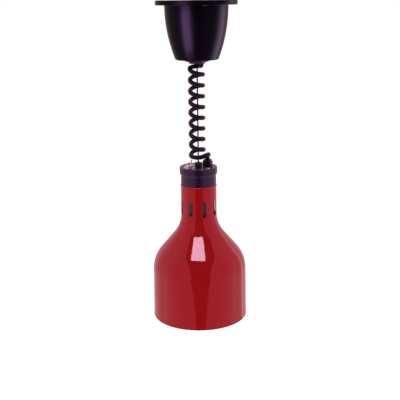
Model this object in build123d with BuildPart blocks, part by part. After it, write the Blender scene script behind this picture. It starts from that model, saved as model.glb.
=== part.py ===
"""Ceiling-mounted heat lamp on a rise-and-fall suspension.

A black canopy holds a spring reel.  The reel's wire rope carries a lamp head that slides up and
down, and a curly cord round the rope brings the current.  Millimetres, +Z up.  The origin is where
the canopy meets the ceiling, the front of the lamp faces -Y, and the lamp hangs below z = 0.
"""

from build123d import *
from math import acos, asin, cos, degrees, pi, radians, sin, sqrt
import os

# Running clearances
RUN = 0.05            # radial, shaft in its bearing or screw in its thread
FREE = 0.3            # around anything that only passes through

# Ceiling plate
PLATE_R = 68.6
PLATE_T = 3.0
CEILING_SCREW_SPACING = 96.0
CEILING_SCREW_HOLE_R = 2.6
BLIND_WALL = 0.6      # metal left above a blind thread in the plate
BLIND_GAP = 0.4       # a blind hole is this much deeper than its screw
INLET_AT = (32.0, 25.0)
INLET_R = 4.5
BUSH_WALL = 2.5
BUSH_FLANGE_W = 2.0
BUSH_FLANGE_T = 1.5

# Canopy cover
COVER_T = 2.0
COVER_FIT = 0.7       # between the plate's edge and the cover's lip
FLANGE_H = 8.4
CEILING_GAP = 0.4     # the lip stops short of the ceiling
CUP_R = 55.5
CUP_H = 92.7
CUP_ARC_R = 250.0     # side of the cup in profile
CUP_EDGE_R = 3.0
FLANGE_EDGE_R = 1.2
COVER_SCREW_RING = 62.8
COVER_SCREW_TURN = 12.5   # degrees to the right of the front
PLATE_BOSS_R = 4.5

# Fasteners, as (head radius, head height, shank radius)
M4_HEAD_R = 3.9
M4_HEAD_H = 2.4
M4_R = 2.0
M3_HEAD_R = 2.9
M3_HEAD_H = 1.8
M3_R = 1.5
RECESS_W = 0.9        # cross recess in a screw head
RECESS_DEPTH = 1.0

# Reel
ROPE_R = 1.25
ROPE_TURN_R = 20.0    # rope centre line on the drum
DRUM_Z = -44.0
GROOVE_W = 16.0
DRUM_FLANGE_T = 2.0
DRUM_FLANGE_R = 26.0
GROOVE_FRONT_Y = -13.0
DRUM_WEB = 1.0        # wall between groove flange and spring chamber
HUB_R = 5.5
CHAMBER_R = 16.4
SPRING_COVER_T = 1.4
SPRING_COVER_LAP = 1.2
AXLE_R = 3.0
AXLE_HEAD_R = 5.0
AXLE_HEAD_H = 1.5
AXLE_TAIL = 3.0
AXLE_GROOVE_DEPTH = 0.7
CLIP_T = 0.9
CLIP_W = 2.4
SPRING_T = 0.5
SPRING_TURNS = 6
SPRING_INNER_R = 6.4
WOUND_TURNS = 4
WINDING_PITCH = 2.75
BRACKET_T = 2.0
BRACKET_W = 32.0
BRACKET_TAB = 11.0
BRACKET_CORNER_R = 3.0
BRACKET_SCREW_SPACING = 20.0
CHEEK_GAP = 0.5       # drum flange to bracket cheek
CHEEK_END_R = 11.0
WASHER_R = 8.0

# Nozzle under the canopy
NOZZLE_DISC_R = 22.0
NOZZLE_DISC_T = 4.1
NOZZLE_BOSS_R = 15.0
NOZZLE_BOSS_TIP_R = 14.0
NOZZLE_BOSS_H = 2.7
NOZZLE_STEM_R = 15.6
NOZZLE_STEM_H = 9.0
NOZZLE_NUT_W = 5.5
NOZZLE_NUT_H = 5.0
NOZZLE_NUT_NOTCHES = 6
NOZZLE_NUT_NOTCH = (3.0, 5.0)

# Cord
CORD_R = 4.0
COIL_R = 11.4         # centre line of the curls
COIL_AXIS_X = -1.5    # the curls hang to the left of the rope
COIL_DROOP = 2.0      # every curl sags this far at the front
COIL_PITCH = 19.2
COIL_TURNS = 8
COIL_EXIT = (7.4, -4.6)
COIL_LEAD_DROP = 5.7  # from the nozzle down to the first point of the coil
COIL_LEAD_SLOPE = -0.107
COIL_FIRST_DROP = 3.8     # from there to the first full turn
COIL_LAST_DROP = 3.0      # quarter turn that leaves the coil
COIL_LAST_SLOPE = -0.02
ARCH_AT = (17.8, -4.6)    # top of the cord's arch over its gland
ARCH_RISE = 10.1          # above the gland's mouth
ARCH_HEADING = (0.43, 0.9, -0.03)
TAIL_RISE = 17.0      # straight part of the tail above the nozzle
TAIL_BEND_FILL = 0.45
TAIL_BEND_BELOW_CLAMP = 12.5

# Wiring carrier in the canopy
CARRIER_X = 40.5
CARRIER_T = 1.5
CARRIER_H = 56.0
CARRIER_FOOT = 13.0
CARRIER_SCREW_EDGE = 1.0  # foot's edge to the screw heads
CARRIER_SCREW_SPACING = 14.0
BLOCK_DEPTH = 12.0
BLOCK_H = 16.0
BLOCK_DROP = 11.0     # below the plate
BLOCK_POLES = 3
BLOCK_POLE_PITCH = 7.4
BLOCK_WALL = 0.8
TERMINAL_SCREW_R = 1.8
TERMINAL_SCREW_H = 1.2
WIRE_R = 1.0
WIRE_HOLE_R = 1.6
WIRE_BEND_R = 1.6
CORE_SPREAD = 0.3     # the cores leave the sheath at this part of the poles' pitch
CORE_STRAIGHT = 2.0   # at both ends of a core's slanting run
CORE_IN_BLOCK = 3.0
BLOCK_CORNER_R = 1.0
SHEATH_END_GAP = 8.0  # from the cord's sheath to the block
CLAMP_H = 7.0
CLAMP_WALL = 1.5
CLAMP_BELOW_BLOCK = 16.0
CLAMP_CORNER_R = 2.0

# Lamp head
CORD_DROP = 191.4     # canopy to cap, as the photograph shows the lamp
CAP_FLANGE_R = 34.3
CAP_R = 32.2
CAP_FLANGE_H = 11.0
CAP_CHAMFER_H = 4.4
CAP_H = 32.9
CAP_WALL = 3.0
CAP_EDGE_R = 1.0
CAP_SCREW_AT = (17.0, -22.5)
CAP_BOSS_R = 4.6
CAP_SCREW_PAST = 1.0  # below the bridge

# Rope anchor on the cap
ANCHOR_R = 6.4
ANCHOR_H = 8.0
ANCHOR_EDGE_R = 1.5
ANCHOR_SHANK_R = 4.0
ANCHOR_SHANK_BELOW = 8.0
ANCHOR_NUT_AF = 13.0
ANCHOR_NUT_H = 5.0
FERRULE_R = 3.0
FERRULE_H = 9.0
ROPE_TAIL_PAST = 1.0

# Cord gland on the cap
GLAND_AT = (16.8, 6.4)
GLAND_AF = 16.0
GLAND_BASE_H = 4.5
GLAND_NUT_H = 7.8
GLAND_DOME_H = 3.0
GLAND_DOME_R = 2.6
GLAND_SLEEVE_R = 6.4
GLAND_SLEEVE_H = 4.0
GLAND_SHANK_R = 6.0
GLAND_SHANK_BELOW = 7.0
GLAND_LOCKNUT_AF = 15.0
GLAND_LOCKNUT_H = 4.0
INNER_CORD_BELOW = 9.0
LEAD_BEND_R = 2.0
LEAD_LIFT = 3.2       # leads cross the cap this far above the nipple
LEAD_PAST_BRIDGE = 3.0

# Toggle switch on the cap
SWITCH_AT = (-15.0, -9.0)
SWITCH_BODY = (17.0, 13.0, 14.0)
SWITCH_BODY_CORNER_R = 1.5
SWITCH_WELL = 3.0     # open to the bushing, for the lever's ball
SWITCH_BUSHING_R = 5.9
SWITCH_BUSHING_BORE_R = 2.7
SWITCH_BUSHING_UP = 4.6
SWITCH_MOUTH_DEPTH = 1.6
SWITCH_PLATE_R = 10.4
SWITCH_PLATE_T = 1.0
SWITCH_NUT_AF = 15.0
SWITCH_NUT_H = 2.2
LEVER_PIVOT_UP = 1.6
LEVER_BALL_R = 2.4
LEVER_NECK_R = 1.0
LEVER_TIP_R = 1.6
LEVER_LENGTH = 13.0
LEVER_TILT = 13.0
TERMINAL_BLADE = (0.8, 4.8, 7.0)
TERMINAL_SPACING = 9.0

# Shade
SHADE_T = 1.2
SHADE_H = 250.6
RIM_R = 87.5
WALL_TOP_R = 86.3
WALL_H = 89.8
SHOULDER_ARC_R = 62.0
SHOULDER_ANGLE = 40.5
NECK_ARC_R = 58.0
NECK_R = 32.65
SEAT_BORE_R = 24.5
RIM_BEAD_R = 1.1
RIM_BEAD_OUT = 0.3    # past the rim's outer side
TOP_BEAD_R = 1.0
TOP_BEAD_OUT = 0.65
SLOT_COUNT = 8
SLOT_W = 8.0
SLOT_H = 28.6
SLOT_CENTRE_H = 209.0
SLOT_TURN = 18.0      # degrees to the right of the front

# Bridge, nipple and lampholder
BRIDGE_T = 2.0
BRIDGE_W = 14.0
BRIDGE_FIT = 0.6
NIPPLE_R = 5.0
NIPPLE_BORE_R = 3.5
NIPPLE_ENGAGE = 9.0
NIPPLE_PAST_NUT = 1.0
NIPPLE_NUT_AF = 14.0
NIPPLE_NUT_H = 4.0
HOLDER_H = 54.0
HOLDER_TOP_R = 13.0
HOLDER_R = 20.5
HOLDER_SHOULDER_H = 14.0
HOLDER_RIM_H = 4.0
HOLDER_RIM_W = 0.8
SOCKET_R = 14.6
SOCKET_DEPTH = 34.0
SHELL_T = 0.5
SHELL_FIT = 0.2
SHELL_H = 24.0
SHELL_INSET = 5.0
CONTACT_R = 5.0
CONTACT_T = 1.2
WIRE_WAY_R = 2.4

# Bulb
BULB_R = 62.5
BULB_CAP_R = 13.1
BULB_CAP_H = 28.0
BULB_CAP_T = 0.4
BULB_TIP_R = 4.6
BULB_TIP_H = 1.4
BULB_TIP_EDGE_R = 0.8
BULB_INSULATOR_H = 3.6
BULB_NECK_R = 17.5
BULB_NECK_H = 16.0
BULB_SHOULDER_H = 5.0
BULB_SLEEVE_H = 6.0   # glass inside the brass cap
BULB_CONE_ANGLE = 27.0
BULB_FACE_ARC_R = 95.0
BULB_FLARE_ARC_R = 60.0
BULB_EDGE_ARC_R = 14.0
GLASS_T = 1.0
STEM_R = 8.0
STEM_H = 26.0
POST_R = 0.7
POST_APART = 2.0      # from the middle, where the posts stand in the stem
POST_IN_STEM = 3.0
POST_STRAIGHT = 6.0
POST_END_H = 10.0     # upright end at the filament
POST_BEND_R = 3.0
FILAMENT_R = 0.6
FILAMENT_RING_R = 17.0
FILAMENT_GAP = 40.0   # degrees left open on the left of the ring
FILAMENT_BELOW_CAP = 68.0

# Levels and places that follow from the sizes above
Z_FLANGE = -FLANGE_H
Z_CANOPY = Z_FLANGE - CUP_H
FLANGE_R = PLATE_R + COVER_FIT + COVER_T
CUP_SWEEP = degrees(asin(CUP_H / CUP_ARC_R))
CUP_CENTRE_X = CUP_R - CUP_ARC_R
CUP_BOTTOM_R = CUP_CENTRE_X + sqrt(CUP_ARC_R**2 - CUP_H**2)
Z_NOZZLE_DISC = Z_CANOPY - NOZZLE_DISC_T
Z_NOZZLE = Z_NOZZLE_DISC - NOZZLE_BOSS_H
Z_STEM = Z_CANOPY + COVER_T + NOZZLE_STEM_H
CORD_D = 2 * CORD_R
CLAMP_SCREW_SPACING = CORD_D + 2 * (CLAMP_WALL + M3_HEAD_R + FREE)
CLAMP_W = CLAMP_SCREW_SPACING + 2 * M3_HEAD_R
CARRIER_W = CLAMP_W + 2 * FREE
Z_CAP = Z_CANOPY - CORD_DROP
Z_CAP_INSIDE = Z_CAP - CAP_WALL
Z_SHADE = Z_CAP - CAP_H
Z_RIM = Z_SHADE - SHADE_H
Z_GLAND = Z_CAP + GLAND_BASE_H + GLAND_NUT_H
Z_BRIDGE = Z_SHADE - SHADE_T
Z_HOLDER = Z_BRIDGE - BRIDGE_T
DRUM_X = -ROPE_TURN_R
GROOVE_BACK_Y = GROOVE_FRONT_Y + GROOVE_W
DRUM_FRONT_Y = GROOVE_FRONT_Y - DRUM_FLANGE_T
DRUM_BACK_Y = GROOVE_BACK_Y + DRUM_FLANGE_T
CHEEK_FRONT_Y = DRUM_FRONT_Y - CHEEK_GAP
CHEEK_BACK_Y = DRUM_BACK_Y + CHEEK_GAP
PLATE_UNDER = -PLATE_T


def front_plane(y):
    """Return the vertical plane at y that faces the front, with local axes X and Z."""
    return Plane.XZ.offset(-y)


def drum_spot():
    """Return the reel's axis as a place on a front plane."""
    return Locations((DRUM_X, DRUM_Z))


def opposite(point):
    """Return a point and the one across the centre line from it."""
    return [point, (-point[0], -point[1])]


def on_ring(radius, turn):
    """Return the XY place at a radius, turned in degrees to the right of the front."""
    return (radius * sin(radians(turn)), -radius * cos(radians(turn)))


def add_screws(seat, places, head_r, head_h, shank_r, length, recess=True):
    """Add pan-head screws to the part in progress: heads outside the seat plane, shanks inside."""
    for radius, height in ((head_r, head_h), (shank_r, -length)):
        with BuildSketch(seat) as rounds:
            with Locations(*places):
                Circle(radius)
        extrude(rounds.sketch, amount=height)
    if recess:
        with BuildSketch(seat.offset(head_h)) as crosses:
            with Locations(*places):
                Rectangle(1.2 * head_r, RECESS_W)
                Rectangle(RECESS_W, 1.2 * head_r)
        extrude(crosses.sketch, amount=-RECESS_DEPTH, mode=Mode.SUBTRACT)


def add_nut(z_low, place, across_flats, bore_r, height):
    """Add an upright hexagon nut with a plain bore to the part in progress."""
    with BuildSketch(Plane.XY.offset(z_low)) as hexagon:
        with Locations(place):
            RegularPolygon(across_flats / 2, 6, major_radius=False)
            Circle(bore_r, mode=Mode.SUBTRACT)
    extrude(hexagon.sketch, amount=height)


def add_tube(z_low, z_high, place, outer_r, bore_r):
    """Add an upright tube to the part in progress."""
    with BuildSketch(Plane.XY.offset(z_low)) as ring:
        with Locations(place):
            Circle(outer_r)
            Circle(bore_r, mode=Mode.SUBTRACT)
    extrude(ring.sketch, amount=z_high - z_low)


def cut_holes(z_low, z_high, places, radius):
    """Cut upright round holes in the part in progress."""
    with BuildSketch(Plane.XY.offset(z_low)) as rounds:
        with Locations(*places):
            Circle(radius)
    extrude(rounds.sketch, amount=z_high - z_low, mode=Mode.SUBTRACT)


# Canopy


def cover_screw_places():
    return opposite(on_ring(COVER_SCREW_RING, COVER_SCREW_TURN))


def bracket_screw_places():
    front = CHEEK_FRONT_Y - BRACKET_T - BRACKET_TAB / 2
    back = CHEEK_BACK_Y + BRACKET_T + BRACKET_TAB / 2
    half = BRACKET_SCREW_SPACING / 2
    return [(DRUM_X + side * half, y) for y in (front, back) for side in (-1, 1)]


def carrier_screw_places():
    x = CARRIER_X + CARRIER_T - CARRIER_FOOT + M3_HEAD_R + CARRIER_SCREW_EDGE
    return [(x, side * CARRIER_SCREW_SPACING / 2) for side in (-1, 1)]


def ceiling_plate():
    """Steel disc that is screwed to the ceiling, with two bosses for the cover."""
    boss_end = Z_FLANGE + COVER_T
    with BuildPart() as plate:
        with BuildSketch(Plane.XY.offset(PLATE_UNDER)):
            Circle(PLATE_R)
            with Locations((0, CEILING_SCREW_SPACING / 2), (0, -CEILING_SCREW_SPACING / 2)):
                Circle(CEILING_SCREW_HOLE_R, mode=Mode.SUBTRACT)
            with Locations(INLET_AT):
                Circle(INLET_R + BUSH_WALL + RUN, mode=Mode.SUBTRACT)
        extrude(amount=PLATE_T)
        with BuildSketch(Plane.XY.offset(boss_end)):
            with Locations(*cover_screw_places()):
                Circle(PLATE_BOSS_R)
        extrude(amount=PLATE_UNDER - boss_end)
        cut_holes(boss_end, -BLIND_WALL, cover_screw_places(), M4_R + RUN)
        cut_holes(PLATE_UNDER, -BLIND_WALL, bracket_screw_places(), M4_R + RUN)
        cut_holes(PLATE_UNDER, -BLIND_WALL, carrier_screw_places(), M3_R + RUN)
    return plate


def inlet_bush():
    """Snap-in bush for the supply cable in the ceiling plate."""
    with BuildPart() as bush:
        add_tube(PLATE_UNDER, 0, INLET_AT, INLET_R + BUSH_WALL, INLET_R)
        flange_r = INLET_R + BUSH_WALL + BUSH_FLANGE_W
        add_tube(PLATE_UNDER - BUSH_FLANGE_T, PLATE_UNDER, INLET_AT, flange_r, INLET_R)
    return bush


def canopy_cover():
    """Pressed cup with a deep flange that hides the ceiling plate."""
    hole_r = NOZZLE_STEM_R + FREE
    centre = (CUP_CENTRE_X, Z_FLANGE)
    inner_arc_r = CUP_ARC_R - COVER_T
    inner_sweep = degrees(asin((CUP_H - COVER_T) / inner_arc_r))
    with BuildPart() as cover:
        with BuildSketch(Plane.XZ):
            with BuildLine():
                Polyline((CUP_R, Z_FLANGE), (FLANGE_R, Z_FLANGE), (FLANGE_R, -CEILING_GAP),
                         (FLANGE_R - COVER_T, -CEILING_GAP), (FLANGE_R - COVER_T, Z_FLANGE + COVER_T),
                         (CUP_R - COVER_T, Z_FLANGE + COVER_T), (CUP_R - COVER_T, Z_FLANGE))
                inner = CenterArc(centre, inner_arc_r, 0, -inner_sweep)
                outer = CenterArc(centre, CUP_ARC_R, 0, -CUP_SWEEP)
                Polyline(inner @ 1, (hole_r, Z_CANOPY + COVER_T), (hole_r, Z_CANOPY), outer @ 1)
            make_face()
        revolve(axis=Axis.Z)
        fillet(circle_edge(cover, FLANGE_R, Z_FLANGE), FLANGE_EDGE_R)
        fillet(circle_edge(cover, CUP_BOTTOM_R, Z_CANOPY), CUP_EDGE_R)
        cut_holes(Z_FLANGE, Z_FLANGE + COVER_T, cover_screw_places(), M4_R + FREE)
    return cover


def circle_edge(part, radius, z):
    """Return the part's round edge that is nearest to a radius and a level."""
    rings = part.edges().filter_by(GeomType.CIRCLE)
    return rings.sort_by(lambda edge: abs(edge.radius - radius) + abs(edge.center().Z - z))[0]


def cover_screws():
    """Two screws up through the flange into the ceiling plate."""
    length = FLANGE_H - 2 * BLIND_WALL
    with BuildPart() as screws:
        add_screws(Plane.XY.offset(Z_FLANGE).rotated((180, 0, 0)),
                   [(x, -y) for x, y in cover_screw_places()],
                   M4_HEAD_R, M4_HEAD_H, M4_R, length)
    return screws


def reel_bracket():
    """Hat-shaped bracket whose two cheeks carry the reel's axle."""
    front = CHEEK_FRONT_Y - BRACKET_T - BRACKET_TAB
    back = CHEEK_BACK_Y + BRACKET_T + BRACKET_TAB
    top = PLATE_UNDER - BRACKET_T
    half = BRACKET_W / 2
    with BuildPart() as bracket:
        with BuildSketch(Plane.XY.offset(top)):
            with Locations((DRUM_X, (front + back) / 2)):
                RectangleRounded(BRACKET_W, back - front, BRACKET_CORNER_R)
            with Locations(*bracket_screw_places()):
                Circle(M4_R + FREE, mode=Mode.SUBTRACT)
        extrude(amount=BRACKET_T)
        for y in (CHEEK_FRONT_Y, CHEEK_BACK_Y + BRACKET_T):
            with BuildSketch(front_plane(y)):
                with BuildLine():
                    Polyline((DRUM_X - half, top), (DRUM_X + half, top),
                             (DRUM_X + CHEEK_END_R, DRUM_Z), (DRUM_X - CHEEK_END_R, DRUM_Z),
                             close=True)
                make_face()
                with drum_spot():
                    Circle(CHEEK_END_R)
                    Circle(AXLE_R + RUN, mode=Mode.SUBTRACT)
            extrude(amount=BRACKET_T)
    return bracket


def bracket_screws():
    """Four screws that hold the reel bracket to the ceiling plate."""
    seat = Plane.XY.offset(PLATE_UNDER - BRACKET_T).rotated((180, 0, 0))
    with BuildPart() as screws:
        add_screws(seat, [(x, -y) for x, y in bracket_screw_places()],
                   M4_HEAD_R, M4_HEAD_H, M4_R, BRACKET_T + PLATE_T - BLIND_WALL - BLIND_GAP)
    return screws


def reel_axle():
    """Headed pin through the cheeks, grooved at its tail for the clip."""
    head_y = CHEEK_FRONT_Y - BRACKET_T
    tail_y = CHEEK_BACK_Y + BRACKET_T
    with BuildPart() as axle:
        with BuildSketch(front_plane(tail_y + AXLE_TAIL)):
            with drum_spot():
                Circle(AXLE_R)
        extrude(amount=tail_y + AXLE_TAIL - head_y)
        with BuildSketch(front_plane(head_y)):
            with drum_spot():
                Circle(AXLE_HEAD_R)
        extrude(amount=AXLE_HEAD_H)
        with BuildSketch(front_plane(tail_y + RUN + CLIP_T + RUN)):
            with drum_spot():
                Circle(AXLE_R)
                Circle(AXLE_R - AXLE_GROOVE_DEPTH, mode=Mode.SUBTRACT)
        extrude(amount=CLIP_T + RUN, mode=Mode.SUBTRACT)
    return axle


def axle_clip():
    """Spring clip in the axle's groove, open at the bottom."""
    bore_r = AXLE_R - AXLE_GROOVE_DEPTH + RUN
    with BuildPart() as clip:
        with BuildSketch(front_plane(CHEEK_BACK_Y + BRACKET_T + RUN + CLIP_T)):
            with drum_spot():
                Circle(bore_r + CLIP_W)
                Circle(bore_r, mode=Mode.SUBTRACT)
            with Locations((DRUM_X, DRUM_Z - bore_r - CLIP_W / 2)):
                Rectangle(1.6 * bore_r, CLIP_W + bore_r, mode=Mode.SUBTRACT)
        extrude(amount=CLIP_T)
    return clip


def thrust_washers():
    """Two thin washers between the drum and the cheeks that brake it a little."""
    with BuildPart() as washers:
        for y in (CHEEK_FRONT_Y + CHEEK_GAP - RUN, CHEEK_BACK_Y):
            with BuildSketch(front_plane(y)):
                with drum_spot():
                    Circle(WASHER_R)
                    Circle(AXLE_R + RUN, mode=Mode.SUBTRACT)
            extrude(amount=CHEEK_GAP - RUN)
    return washers


def nozzle_nut():
    """Ring nut that clamps the nozzle from inside the cup."""
    with BuildPart() as nut:
        floor = Z_CANOPY + COVER_T
        add_tube(floor, floor + NOZZLE_NUT_H, (0, 0), NOZZLE_STEM_R + NOZZLE_NUT_W, NOZZLE_STEM_R + RUN)
        with BuildSketch(Plane.XY.offset(floor + NOZZLE_NUT_H / 2)):
            with PolarLocations(NOZZLE_STEM_R + NOZZLE_NUT_W, NOZZLE_NUT_NOTCHES):
                Rectangle(*NOZZLE_NUT_NOTCH)
        extrude(amount=NOZZLE_NUT_H / 2, mode=Mode.SUBTRACT)
    return nut


def rope_nozzle():
    """Disc with a low cone under the canopy that guides the rope and the cord."""
    with BuildPart() as nozzle:
        with BuildSketch(Plane.XZ):
            with BuildLine():
                Polyline((0, Z_STEM), (NOZZLE_STEM_R, Z_STEM), (NOZZLE_STEM_R, Z_CANOPY),
                         (NOZZLE_DISC_R, Z_CANOPY), (NOZZLE_DISC_R, Z_NOZZLE_DISC + NOZZLE_DISC_T / 2),
                         (NOZZLE_DISC_R - NOZZLE_DISC_T, Z_NOZZLE_DISC),
                         (NOZZLE_BOSS_R, Z_NOZZLE_DISC), (NOZZLE_BOSS_TIP_R, Z_NOZZLE),
                         (0, Z_NOZZLE), close=True)
            make_face()
        revolve(axis=Axis.Z)
        cut_holes(Z_NOZZLE, Z_STEM, [(0, 0)], ROPE_R + FREE)
        cut_holes(Z_NOZZLE, Z_STEM, [COIL_EXIT], CORD_R + FREE)
    return nozzle


# Reel


def rope_drum():
    """Grooved drum with a hub and a chamber for the mainspring, open at the back."""
    hub_end = DRUM_BACK_Y - SPRING_COVER_T
    with BuildPart() as drum:
        with BuildSketch(front_plane(DRUM_BACK_Y)):
            with drum_spot():
                Circle(DRUM_FLANGE_R)
        extrude(amount=DRUM_FLANGE_T)
        with BuildSketch(front_plane(GROOVE_BACK_Y)):
            with drum_spot():
                Circle(ROPE_TURN_R - ROPE_R - RUN)
        extrude(amount=GROOVE_W)
        with BuildSketch(front_plane(GROOVE_FRONT_Y)):
            with drum_spot():
                Circle(DRUM_FLANGE_R)
        extrude(amount=DRUM_FLANGE_T)
        with BuildSketch(front_plane(DRUM_BACK_Y)):
            with drum_spot():
                Circle(CHAMBER_R)
        extrude(amount=DRUM_BACK_Y - GROOVE_FRONT_Y - DRUM_WEB, mode=Mode.SUBTRACT)
        with BuildSketch(front_plane(DRUM_BACK_Y)):
            with drum_spot():
                Circle(CHAMBER_R + SPRING_COVER_LAP + RUN)
        extrude(amount=SPRING_COVER_T, mode=Mode.SUBTRACT)
        with BuildSketch(front_plane(hub_end)):
            with drum_spot():
                Circle(HUB_R)
        extrude(amount=hub_end - GROOVE_FRONT_Y)
        with BuildSketch(front_plane(DRUM_BACK_Y)):
            with drum_spot():
                Circle(AXLE_R + RUN)
        extrude(amount=DRUM_BACK_Y - DRUM_FRONT_Y, mode=Mode.SUBTRACT)
    return drum


def spring_cover():
    """Thin disc that closes the spring chamber."""
    with BuildPart() as cover:
        with BuildSketch(front_plane(DRUM_BACK_Y)):
            with drum_spot():
                Circle(CHAMBER_R + SPRING_COVER_LAP)
                Circle(AXLE_R + RUN, mode=Mode.SUBTRACT)
        extrude(amount=SPRING_COVER_T)
    return cover


def mainspring():
    """Flat spiral spring in the drum, its turns drawn as half circles that widen steadily."""
    outer_r = CHAMBER_R - FREE
    step = (outer_r - SPRING_INNER_R) / (2 * SPRING_TURNS)
    back = DRUM_BACK_Y - SPRING_COVER_T - FREE
    front = GROOVE_FRONT_Y + DRUM_WEB + FREE
    with BuildPart() as spring:
        with BuildSketch(front_plane(back)):
            with BuildLine():
                ends = {}
                for side in (0, SPRING_T):
                    for half in range(2 * SPRING_TURNS):
                        centre = (DRUM_X + step * (half % 2), DRUM_Z)
                        radius = SPRING_INNER_R + step * half - side
                        arc = CenterArc(centre, radius, 180 * (half % 2), 180)
                        if half == 0:
                            ends[side, "in"] = arc @ 0
                    ends[side, "out"] = arc @ 1
                Line(ends[0, "in"], ends[SPRING_T, "in"])
                Line(ends[0, "out"], ends[SPRING_T, "out"])
            make_face()
        extrude(amount=back - front)
    return spring


def heading(vector):
    """Return a vector of length one."""
    return Vector(*vector).normalized()


def biarc(start, start_heading, end, end_heading):
    """Draw two arcs that leave start and reach end along the given headings."""
    across = end - start
    both = start_heading + end_heading
    square = 2 * (start_heading.dot(end_heading) - 1)
    linear = -2 * across.dot(both)
    reach = (-linear - sqrt(linear**2 - 4 * square * across.dot(across))) / (2 * square)
    first_corner = start + start_heading * reach
    last_corner = end - end_heading * reach
    joint = (first_corner + last_corner) * 0.5
    TangentArc(start, joint, tangent=start_heading)
    TangentArc(joint, end, tangent=(last_corner - first_corner).normalized())


def draw_knots(knots):
    """Draw a smooth path of biarcs through (point, heading) knots."""
    for (start, start_heading), (end, end_heading) in zip(knots, knots[1:]):
        biarc(start, start_heading, end, end_heading)


def winding_knots():
    """Return the wound rope's knots, a quarter turn apart, up to where the rope hangs free."""
    quarters = 4 * WOUND_TURNS
    slope = WINDING_PITCH / (2 * pi * ROPE_TURN_R)
    knots = []
    for quarter in range(quarters + 1):
        turn = radians(90 * (quarter - quarters))
        y = WINDING_PITCH * (quarter - quarters) / 4
        point = Vector(DRUM_X + ROPE_TURN_R * cos(turn), y, DRUM_Z - ROPE_TURN_R * sin(turn))
        along = heading((-sin(turn), slope if quarter < quarters else 0, -cos(turn)))
        knots.append((point, along))
    return knots


def rope_winding():
    """Rope wound on the drum as one tube, ending where it leaves the drum straight down."""
    knots = winding_knots()
    with BuildPart() as winding:
        with BuildLine():
            draw_knots(knots)
        with BuildSketch(Plane(origin=knots[0][0], z_dir=knots[0][1])):
            Circle(ROPE_R)
        sweep()
    return winding


def wire_rope():
    """Free rope from the drum down to the anchor on the cap."""
    low = Z_CAP + ANCHOR_H
    with BuildPart() as rope:
        with BuildSketch(Plane.XY.offset(low)):
            Circle(ROPE_R)
        extrude(amount=DRUM_Z - low)
    return rope


# Cord


def coil_knots():
    """Return the curly cord's knots: its bend out of the nozzle, its turns and its arch."""
    lead = Z_NOZZLE - COIL_LEAD_DROP
    top = lead - COIL_FIRST_DROP
    knots = [(Vector(*COIL_EXIT, Z_NOZZLE), heading((0, 0, -1))),
             (Vector(COIL_AXIS_X, COIL_R, lead), heading((-1, 0, COIL_LEAD_SLOPE)))]
    for quarter in range(4 * COIL_TURNS + 1):
        turn = radians(180 + 90 * quarter)
        level = top - COIL_PITCH * quarter / 4 + COIL_DROOP * sin(turn)
        slope = (COIL_DROOP * cos(turn) - COIL_PITCH / (2 * pi)) / COIL_R
        point = Vector(COIL_AXIS_X + COIL_R * cos(turn), COIL_R * sin(turn), level)
        knots.append((point, heading((-sin(turn), cos(turn), slope))))
    leave = top - COIL_PITCH * COIL_TURNS - COIL_LAST_DROP
    knots.append((Vector(COIL_AXIS_X, -COIL_R, leave), heading((1, 0, COIL_LAST_SLOPE))))
    knots.append((Vector(*ARCH_AT, Z_GLAND + ARCH_RISE), heading(ARCH_HEADING)))
    knots.append((Vector(*GLAND_AT, Z_GLAND), heading((0, 0, -1))))
    return knots


def coil_cord():
    """Curly cord from the nozzle to the gland, one tube with straight ends in both."""
    knots = coil_knots()
    with BuildPart() as cord:
        with BuildLine():
            Line(knots[0][0] + Vector(0, 0, CORD_D), knots[0][0])
            draw_knots(knots)
            Line(knots[-1][0], knots[-1][0] - Vector(0, 0, CORD_D))
        with BuildSketch(Plane.XY.offset(Z_NOZZLE + CORD_D)):
            with Locations(COIL_EXIT):
                Circle(CORD_R)
        sweep()
    print_least_gap("coil_cord", cord.part, knots, CORD_R)
    return cord


def print_least_gap(name, tube, knots, radius):
    """Print a tube's least gap to itself, measured on points of its centre line."""
    with BuildLine() as path:
        draw_knots(knots)
    points = []
    travelled = 0.0
    for edge in path.edges().sort_by(lambda arc: -arc.center().Z):
        steps = 12
        for step in range(steps):
            points.append((travelled + edge.length * step / steps, edge @ (step / steps)))
        travelled += edge.length
    apart = 4 * pi * radius
    gaps = [(b - a).length for i, (s, a) in enumerate(points) for t, b in points[i + 1:] if t - s > apart]
    volume = pi * radius**2 * travelled
    print(f"{name}: length {travelled:.0f} mm, least gap {min(gaps) - 2 * radius:.2f} mm, "
          f"volume {tube.volume:.0f} of {volume:.0f} mm3 without its straight ends")


def tail_points():
    """Return the corners of the cord's route inside the canopy."""
    x = CARRIER_X - CORD_R
    top = PLATE_UNDER - BLOCK_DROP - BLOCK_H - SHEATH_END_GAP
    clamp_low = PLATE_UNDER - BLOCK_DROP - BLOCK_H - CLAMP_BELOW_BLOCK - CLAMP_H
    return [(*COIL_EXIT, Z_NOZZLE + CORD_D), (*COIL_EXIT, Z_NOZZLE + CORD_D + TAIL_RISE),
            (x, 0, clamp_low - TAIL_BEND_BELOW_CLAMP), (x, 0, top)]


def cord_tail():
    """Cord inside the canopy, from the nozzle through its clamp to the stripped end."""
    points = [Vector(*point) for point in tail_points()]
    runs = [b - a for a, b in zip(points, points[1:])]
    radii = []
    for before, after in zip(runs, runs[1:]):
        half_turn = radians(before.get_angle(after) / 2)
        radii.append(TAIL_BEND_FILL * min(before.length, after.length) * cos(half_turn) / sin(half_turn))
    with BuildPart() as tail:
        with BuildLine():
            FilletPolyline(*points, radius=radii)
        with BuildSketch(Plane.XY.offset(points[0].Z)):
            with Locations(COIL_EXIT):
                Circle(CORD_R)
        sweep()
    return tail


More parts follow.
